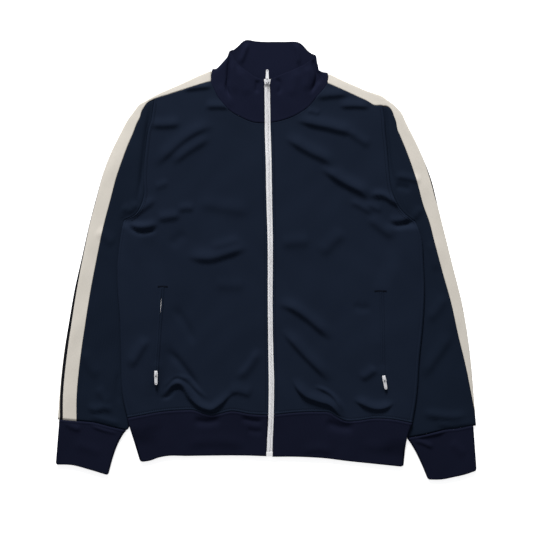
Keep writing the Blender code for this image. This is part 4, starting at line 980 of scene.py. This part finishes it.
table = np.array(COLLAR, float).reshape(len(COLLAR), 3, 3)
lines = [through(table[:, level], COLLAR_COLUMNS) for level in range(3)]
share = crowded(COLLAR_ROWS)[:, None, None]
grid = (2 * (share - 0.5) * (share - 1) * lines[0] + 4 * share * (1 - share) * lines[1]
        + 2 * share * (share - 0.5) * lines[2])
for spot_x, spot_y, move_x, move_y, reach in COLLAR_CORNERS:
    near = np.exp(-((grid[..., 0] - spot_x) ** 2 + (grid[..., 1] - spot_y) ** 2) / reach**2)
    grid[..., :2] += near[..., None] * (move_x, move_y)
x, y = grid[..., 0], grid[..., 1]
front_half = ease((grid[..., 2] - FRONT_FROM) / 2.0)
from_top = from_rows(grid, -1)
beside_zip = ease((np.abs(x - COLLAR_ZIP) - ROLL_START) / ROLL_RAMP)
crest = front_half * (creases(COLLAR_CREASES, x, y) + rumple(x, y))
crest += (1 - front_half) * creases(BACK_HALF_CREASES, x, y)
roll = ROLL * (1 - ease(from_top / ROLL_REACH)) * beside_zip + 0.15 * np.exp(-(from_top / 1.2) ** 2)
grid[..., 2] += crest + front_half * (0.25 * seam_relief(from_rows(grid, 0)) - roll)
piece = cloth("collar_rib", grid[:, ::-1], RIB_WALL, collar_knit)
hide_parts("collar")


# ---------------------------------------------------------------- cuffs
# A band of doubled rib closes each sleeve. It is narrower than the sleeve, and pulls its last
# centimetres into small creases.

rib_knit = knit("rib_knit", (0.0045, 0.0057, 0.0146), (0.0057, 0.0072, 0.0184), RIB_WALE, 0.22)

RIB_MIDDLE = 1.1         # middle of the rib that lies on the floor
RIB_RISE = 3.1           # from there to its upper layer
RIB_SWELL = 0.8          # what it rises more, away from its ends
CUFF_EDGE = {
    "right": [(377.6, -368), (349, -369), (318, -377), (285, -387)],
    "left": [(377.5, -379), (357, -386), (335, -391), (317, -394.6), (292, -395)],
}
CUFF_CREASES = {
    "right": [(2.4, 6, 5, [(-366, -290), (-350, -300), (-330, -306)]),
              (1.6, 3, 3, [(-318, -297), (-296, -305), (-262, -314)]),
              (1.1, 9, 9, [(-350, -330), (-320, -338), (-290, -350)])],
    "left": [(2.4, 4, 3, [(262, -320), (282, -317), (306, -312), (326, -308)]),
             (2.8, 5, 3, [(262, -325), (280, -329), (302, -339)]),
             (1.2, 8, 8, [(330, -326), (346, -340), (360, -352)])],
}
CUFF_HOLLOW = {"right": 5.4, "left": 3.4}        # of the inner edge
CUFF_INSET = {"right": 3.4, "left": 5.4}         # of the outer edge, at the seam
CUFF_CORNER = 4.0
CUFF_ROWS, CUFF_COLUMNS = 44, 90
for side in SIGN:
    seam = smooth(CUFF_SEAM[side], count=CUFF_COLUMNS) - (0.0, SEAM_GAP)
    seam[:, 0] -= CUFF_INSET[side] * np.linspace(1.0, 0.0, CUFF_COLUMNS)
    edge = smooth(CUFF_EDGE[side], count=CUFF_COLUMNS)
    share = np.linspace(0.0, 1.0, CUFF_ROWS)[:, None]
    outer = seam[0] + (edge[0] - seam[0]) * share
    inner = seam[-1] + (edge[-1] - seam[-1]) * share
    inner[:, 0] += CUFF_HOLLOW[side] * np.sin(np.pi * share[:, 0] ** 0.7)
    round_corner(edge, inner, CUFF_CORNER)
    round_corner(edge[::-1], outer, CUFF_CORNER)
    plan = patch(seam, edge, outer, inner, np.linspace(0, 1, CUFF_COLUMNS), crowded(CUFF_ROWS))
    over = unit(plan[:, -1] - plan[:, 0])
    plan[:, 0] += over * RIB_RISE / 2
    plan[:, -1] -= over * RIB_RISE / 2
    x, y = SIGN[side] * plan[..., 0], plan[..., 1]
    spread = np.sin(np.pi * np.linspace(0, 1, CUFF_COLUMNS))[None, :] ** 0.6
    swell = RIB_SWELL * spread + (creases(CUFF_CREASES[side], x, y) + 0.6 * rumple(x, y)) * spread
    upper = stack(plan, RIB_MIDDLE + RIB_RISE + swell)
    upper[:, 1:-1, 2] += seam_relief(from_rows(upper, 0))[:, 1:-1]
    upper[..., 2] -= sunk_edge(from_rows(upper, -1), 0.5)
    lower = stack(plan[:, ::-1], np.full(plan.shape[:2], RIB_MIDDLE))
    inner_turn = fold_over(upper[:, -1], lower[:, 0], over)
    outer_turn = fold_over(upper[:, 0], lower[:, -1], -over)
    grid = np.concatenate([upper, inner_turn, lower, outer_turn[:, ::-1]], axis=1)
    piece = cloth(f"cuff_rib_{side}", mirrored(side, grid), RIB_WALL, rib_knit, loop=True)
    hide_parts(f"cuff_{side}")


# ---------------------------------------------------------------- hem
# One length of doubled rib, from the zip round the back to the zip. It is sewn on stretched, and
# draws the fronts into folds above its seam.

HEM_EDGE = {
    "right": [(0, -353), (29, -352), (142, -352.5), (181, -353), (195, -356), (207, -360.5),
              (225.5, -363.5)],
    "left": [(12, -354), (57, -354), (109, -357), (140, -361), (197, -367), (246, -372)],
}
HEM_HOLLOW = {"right": 0.0, "left": 4.5}
HEM_CORNER = 4.5
HEM_SHORT = 1.2          # how much higher than in front the back's lower edge lies
HEM_CREASES = [
    (-3.0, 7, 7, [(-134, -288), (-108, -292), (-78, -286)]),
    (-2.4, 5, 5, [(-48, -284), (-24, -290), (-4, -292)]),
    (-1.6, 5, 5, [(-36, -304), (-20, -309), (-4, -308)]),
    (-3.0, 8, 8, [(104, -290), (130, -300), (162, -302)]),
    (1.2, 12, 9, [(-150, -330), (-90, -326), (-30, -332)]),
    (1.2, 10, 6, [(60, -346), (96, -340), (124, -348)]),
    (1.1, 12, 9, [(170, -330), (200, -336), (236, -330)]),
]
HEM_ROWS, HEM_COLUMNS, HEM_BACK_COLUMNS = 40, 130, 110
share = crowded(HEM_ROWS)
fronts, backs = {}, {}
for side, sign in SIGN.items():
    seam = smooth(HEM_SEAM[side], count=HEM_COLUMNS) - (0.0, SEAM_GAP)
    edge = smooth(HEM_EDGE[side], count=HEM_COLUMNS)
    ups = np.linspace(seam[0, 1], edge[0, 1], HEM_ROWS)
    middle, half = zip_at(ups)
    near_zip = np.stack([sign * middle + half, ups], axis=1)
    seam[0], edge[0] = near_zip[0], near_zip[-1]
    down = np.linspace(0, 1, HEM_ROWS)[:, None]
    outer = seam[-1] + (edge[-1] - seam[-1]) * down
    outer[:, 0] -= HEM_HOLLOW[side] * np.sin(np.pi * down[:, 0] ** 0.65)
    round_corner(edge, outer, HEM_CORNER)
    plan = patch(seam, edge, near_zip, outer, np.linspace(0, 1, HEM_COLUMNS), share)
    plan[:, -1, 0] -= RIB_RISE / 2
    plan = plan * (sign, 1.0)
    x, y = plan[..., 0], plan[..., 1]
    low = body_lift(x, y)
    spread = 1 - np.exp(-np.abs(np.abs(x) - np.abs(plan[:, -1:, 0])) / EDGE_FALL)
    crest = creases(FRONT_CREASES + HEM_CREASES, x, y) + rumple(x, y)
    fronts[side] = stack(plan, RIB_MIDDLE + low + RIB_RISE + (RIB_SWELL + crest) * spread)
    relief = seam_relief(from_rows(fronts[side], 0)) - sunk_edge(from_rows(fronts[side], -1), 0.5)
    fronts[side][:, :-1, 2] += relief[:, :-1]
    backs[side] = stack(plan[:, -1], RIB_MIDDLE + low[:, -1])

# Its back runs straight between the two folds, and ends just above the front's lower edge
share = np.linspace(0.0, 1.0, HEM_BACK_COLUMNS)[None, :, None]
back = backs["right"][:, None] * (1 - share) + backs["left"][:, None] * share
hem_edge = np.vstack([fronts["right"][-1, ::-1], fronts["left"][-1]])
level = np.interp(back[-1, :, 0], hem_edge[:, 0], hem_edge[:, 1]) + HEM_SHORT - back[-1, :, 1]
down = np.linspace(0.0, 1.0, HEM_ROWS)[:, None]
back[..., 1] += (BACK_BOW - 1.0) * np.sin(np.pi * share[..., 0]) * (1 - down) + level * down
back[..., 2] = RIB_MIDDLE + body_lift(back[..., 0], back[..., 1])
away = np.tile((1.0, 0.0), (HEM_ROWS, 1))
right_turn = fold_over(fronts["right"][:, -1], back[:, 0], -away)
left_turn = fold_over(fronts["left"][:, -1], back[:, -1], away)
grid = np.concatenate([fronts["right"], right_turn, back, left_turn[:, ::-1],
                       fronts["left"][:, ::-1]], axis=1)
piece = cloth("hem_band", grid, RIB_WALL, rib_knit)
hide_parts("hem_rib")


# ---------------------------------------------------------------- main zip
# Two woven tapes with moulded teeth, all white, from the top of the collar to the box at the
# hem. The fronts' edges lie on the tapes.

TAPE_COLUMNS = (0.15, 1.9, 3.8, 5.7)             # from the zip's middle
TAPE_WALL = 1.0
TAPE_SUNK = 0.6          # how far the tapes lie under the middle of the fronts' cloth
TAPE_SHADE = (0.69, 0.685, 0.70, 1.0)
TAPE_WHITE = (0.75, 0.745, 0.76, 1.0)
WEFT, WARP = 0.9, 1.8    # from thread to thread, along and across
TOOTH = (2.6, 1.45, 1.2)                         # length across the zip, width, height
TOOTH_OUTLINE = [(-0.5, -0.3), (-0.34, -0.5), (0.3, -0.42), (0.5, -0.18), (0.5, 0.18), (0.3, 0.42),
                 (-0.34, 0.5), (-0.5, 0.3)]      # shares of length and width
TOOTH_LEVELS = [(-0.5, 1.0), (0.2, 1.0), (0.5, 0.72)]   # share of height, size of the outline
TOOTH_PITCH = 2.7        # from a tooth to the next one of its side
TOOTH_ASIDE = 0.55       # of its middle from the zip's
TOOTH_RISE = 0.8         # of its middle over the tape's
ZIP_ENDS = (323.0, -345.0)
TEETH_ENDS = (-342.0, 314.0)


def mottled(name, roughness, specular, low, high, drift, grain, depth):
    """A finish of one colour that drifts a little between low and high, with a fine grain."""
    finish, place = finish_of(name, roughness, specular)
    tone = place.noise(place, drift).mix((*low, 1.0), (*high, 1.0))
    dress(finish, tone, place.noise(place, grain), depth)
    return finish


zip_weave, place = finish_of("zip_weave", 0.6, 0.25)
along, across = place.kept("along"), place.kept("across")
weave = (along * (2 * math.pi / WEFT) + across * (2 * math.pi / WARP)).sine()
tone = (weave * 0.4 + place.noise(place, 40.0) * 0.6).mix(TAPE_SHADE, TAPE_WHITE)
dress(zip_weave, tone, weave, 0.12)
tooth_white = mottled("tooth_white", 0.42, 0.35, (0.74, 0.735, 0.75), (0.81, 0.805, 0.82),
                      300.0, 2500.0, 0.02)


def zip_height(x, y):
    """Middle of the cloth beside the zip, on the collar, the fronts and the hem."""
    collar_end = np.array(COLLAR)[-1].reshape(3, 3)
    on_collar = np.interp(y, collar_end[:, 1], collar_end[:, 2])
    on_front = front_height(x, y)
    return np.where(y > collar_end[0, 1], on_collar, on_front)


def over_rings(base, sides, rings, turned):
    """Faces over rings of points, of so many sides each and counted from base, with both ends
    closed. With turned, they face the other way."""
    faces = []
    for low in range(base, base + (rings - 1) * sides, sides):
        for i in range(sides):
            k = (i + 1) % sides
            faces.append((low + i, low + k, low + sides + k, low + sides + i))
    last = base + (rings - 1) * sides
    faces += [tuple(range(base, base + sides))[::-1], tuple(range(last, last + sides))]
    return [face[::-1] for face in faces] if turned else faces


def teeth(name, spots):
    """Moulded teeth: blocks at spots, each x, y, z and 1 or -1 for the side its nose points to."""
    length, width, height = TOOTH
    points, faces = [], []
    for x, y, z, sign in spots:
        faces += over_rings(len(points), len(TOOTH_OUTLINE), len(TOOTH_LEVELS), sign < 0)
        points += [(x + sign * u * length * shrink, y + v * width * shrink, z + level * height)
                   for level, shrink in TOOTH_LEVELS for u, v in TOOTH_OUTLINE]
    piece = built(name, points, faces, tooth_white)
    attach(piece, "jacket")
    return piece


ups = np.linspace(*ZIP_ENDS, 260)
middle, _ = zip_at(ups)
height = zip_height(middle, ups) - TAPE_SUNK
for side, sign in SIGN.items():
    columns = [np.stack([middle + sign * x, ups, height], axis=1) for x in TAPE_COLUMNS]
    grid = np.stack(columns, axis=1)
    piece = cloth(f"zip_tape_cloth_{side}", grid, TAPE_WALL, zip_weave)
    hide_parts(f"zip_tape_{side}")
spots = []
for number, y in enumerate(np.arange(*TEETH_ENDS, TOOTH_PITCH / 2)):
    sign = 1.0 if number % 2 else -1.0
    x = float(zip_at(y)[0])
    z = float(zip_height(np.array([x]), np.array([y]))[0]) - TAPE_SUNK + TOOTH_RISE
    spots.append((x - sign * TOOTH_ASIDE, y, z, sign))
piece = teeth("zip_teeth", spots)


# ---------------------------------------------------------------- pockets
# An upright slit in each front, with two turned lips over a fine zip, and a stitched bar at its
# top end. The lips almost close over the zip.

# Top and bottom of the slit, and the bar's ends, as x, y
POCKET = {
    "right": {"top": (-187.0, -53.0), "bottom": (-197.0, -199.0),
              "bar": [(-195.2, -48.6), (-186, -48.0), (-176.2, -48.8)]},
    "left": {"top": (207.5, -60.0), "bottom": (210.0, -205.0),
             "bar": [(194.0, -56.6), (205.0, -56.0), (217.5, -56.8)]},
}
# Across a lip: distance from the slit, height over the front
LIP_PROFILE = [(0.0, -0.12), (0.35, 0.3), (1.0, 0.6), (2.0, 0.5), (3.2, 0.1), (4.6, -0.7)]
LIP_ENDS = 1.3           # how much wider the lips are past the slit's ends
LIP_WALL = 0.8
LIP_GAP = 0.08
LIP_OPENING = {"right": 0.6, "left": 0.0}        # where the lips stand a little apart
OPENING_AT, OPENING_REACH = 0.2, 0.11            # shares of the slit, from its top
POCKET_POINTS = 90
POCKET_TAPE = 2.4
POCKET_TAPE_WALL = 0.3
POCKET_TAPE_SUNK = 0.12


def surface_under(names):
    """A function that gives the height of the highest of the named pieces at x, y."""
    graph = bpy.context.evaluated_depsgraph_get()
    trees = [BVHTree.FromObject(bpy.data.objects[name], graph) for name in names]

    def height(x, y):
        start, down = Vector((x * MM, y * MM, 1.0)), Vector((0.0, 0.0, -1.0))
        hits = [tree.ray_cast(start, down)[0] for tree in trees]
        return max(hit.z / MM for hit in hits if hit is not None)
    return height


on_fronts = surface_under(["front_panel_right", "front_panel_left"])
for side in SIGN:
    pocket = POCKET[side]
    top, bottom = np.array(pocket["top"]), np.array(pocket["bottom"])
    down = (bottom - top) / np.linalg.norm(bottom - top)
    over = np.array([-down[1], down[0]])
    share = np.linspace(0.0, 1.0, POCKET_POINTS)
    spots = top + (bottom - top) * share[:, None]
    opening = np.exp(-((share - OPENING_AT) / OPENING_REACH) ** 2)
    opening = LIP_GAP / 2 + LIP_OPENING[side] * opening
    rows = []
    for away, lift in LIP_PROFILE:
        edge = spots + np.linspace(-1.0, 1.0, POCKET_POINTS)[:, None] * down * (away * LIP_ENDS)
        right_lip = edge + over * (opening + away)[:, None]
        left_lip = (edge - over * (opening + away)[:, None])[::-1]
        ring = np.vstack([right_lip, left_lip])
        rows.append([(x, y, on_fronts(x, y) + lift) for x, y in ring])
    piece = cloth(f"pocket_lips_{side}", np.array(rows), LIP_WALL, body_tricot_painted_lighter, loop=True)
    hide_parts(f"pocket_welt_{side}")
    half = over * POCKET_TAPE / 2
    plan = np.stack([spots - half, spots, spots + half], axis=1)
    levels = np.array([[on_fronts(x, y) for x, y in row] for row in plan])
    piece = cloth(f"pocket_tape_{side}", stack(plan, levels - POCKET_TAPE_SUNK), POCKET_TAPE_WALL,
                  zip_weave)
    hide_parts(f"pocket_zip_{side}")


# ---------------------------------------------------------------- topstitching
# Lockstitch in navy thread beside the hem seam, the armholes and the zip, and a dense bar over
# the top of each pocket. The thread is painted darker than the cloth, and each bar stands both for
# the bar tack and for the painted shadow under the fold at the top of its welt.

THREAD_HALF = 0.34       # half of the thread's thickness
STITCH = (3.9, 3.0)      # from one stitch to the next, and the length of one
BAR_STITCH = (1.3, 1.5)  # the same in the bars, where they run into each other
BAR_ROWS = (-1.1, -0.55, 0.0, 0.55, 1.1)
HEM_INSET = 5.3          # of the stitches, from the hem seam and the armholes
ZIP_INSET = 5.2
ZIP_STITCHED = (-272.0, 236.0)
# Along a stitch: share of the thread's thickness, height of its middle over the cloth
STITCH_SECTIONS = [(0.35, -0.25), (0.9, 0.1), (1.0, 0.2), (0.9, 0.1), (0.35, -0.25)]
STITCH_SIDES = 6
on_pockets = surface_under(["front_panel_right", "front_panel_left",
                            "pocket_lips_right", "pocket_lips_left"])
# Painted shade: the thread's colour is made very dark, so that the pocket bars also paint the shadow
# at the top of each welt.
thread = mottled("navy_thread_painted_dark", 0.75, 0.03, (0.0030, 0.0040, 0.0080), (0.0044, 0.0058, 0.0110),
                 500.0, 3000.0, 0.03)


def stitches(name, lines, step, length, height):
    """Stitches of a thread along plan lines, lying on the cloth."""
    points, faces = [], []
    for line in lines:
        run = run_along(line)
        for start in np.arange(step * 0.3, run[-1] - length, step):
            at = start + length * np.linspace(0.0, 1.0, len(STITCH_SECTIONS))
            x, y = np.interp(at, run, line[:, 0]), np.interp(at, run, line[:, 1])
            way = np.array([x[-1] - x[0], y[-1] - y[0]])
            way /= np.linalg.norm(way)
            faces += over_rings(len(points), STITCH_SIDES, len(STITCH_SECTIONS), True)
            for k, (thick, lift) in enumerate(STITCH_SECTIONS):
                z = height(x[k], y[k]) + lift
                for turn in np.linspace(0.0, 2 * math.pi, STITCH_SIDES, endpoint=False):
                    wide = math.cos(turn) * THREAD_HALF * thick
                    tall = math.sin(turn) * THREAD_HALF * thick
                    points.append((x[k] - way[1] * wide, y[k] + way[0] * wide, z + tall))
    piece = built(name, points, faces, thread)
    piece.data.shade_smooth()
    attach(piece, "jacket")


def shifted(line, gap):
    """A plan line moved sideways, to the left of its own direction."""
    run = unit(np.gradient(line, axis=0))
    return line + gap * np.stack([-run[:, 1], run[:, 0]], axis=1)


for side, sign in SIGN.items():
    hem_line = smooth(HEM_SEAM[side], count=120)[3:-3, :2] * (sign, 1.0) + (0.0, HEM_INSET)
    outer, _ = body_outline(side, True)
    armhole = shifted(outer[SIDE_POINTS + 1:-2], HEM_INSET) * (sign, 1.0)
    ups = np.linspace(*ZIP_STITCHED, 200)
    middle, half = zip_at(ups)
    beside = np.stack([middle + sign * (half + ZIP_INSET), ups], axis=1)
    stitches(f"topstitch_{side}", [hem_line, armhole, beside], *STITCH, on_fronts)
    # Painted shadow: the dense dark bar is the bar tack and also the shade at the welt's top.
    bar = smooth(POCKET[side]["bar"], count=40)
    rows = [bar + (0.0, gap) for gap in BAR_ROWS]
    stitches(f"pocket_bar_and_painted_shade_{side}", rows, *BAR_STITCH, on_pockets)


# ---------------------------------------------------------------- sliders and pulls
# White enamelled castings, and the moulded box at the zip's foot. Each pull turns on the arch of
# its slider, and nothing else on the jacket moves by itself.

enamel = mottled("white_enamel", 0.32, 0.5, (0.60, 0.60, 0.62), (0.66, 0.66, 0.68),
                 120.0, 900.0, 0.02)
for name in ("zip_slider", "zip_pull", "zip_box", "pocket_slider_right", "pocket_slider_left",
             "pocket_pull_right", "pocket_pull_left"):
    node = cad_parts[name]
    node.data.materials.clear()
    node.data.materials.append(tooth_white if name == "zip_box" else enamel)
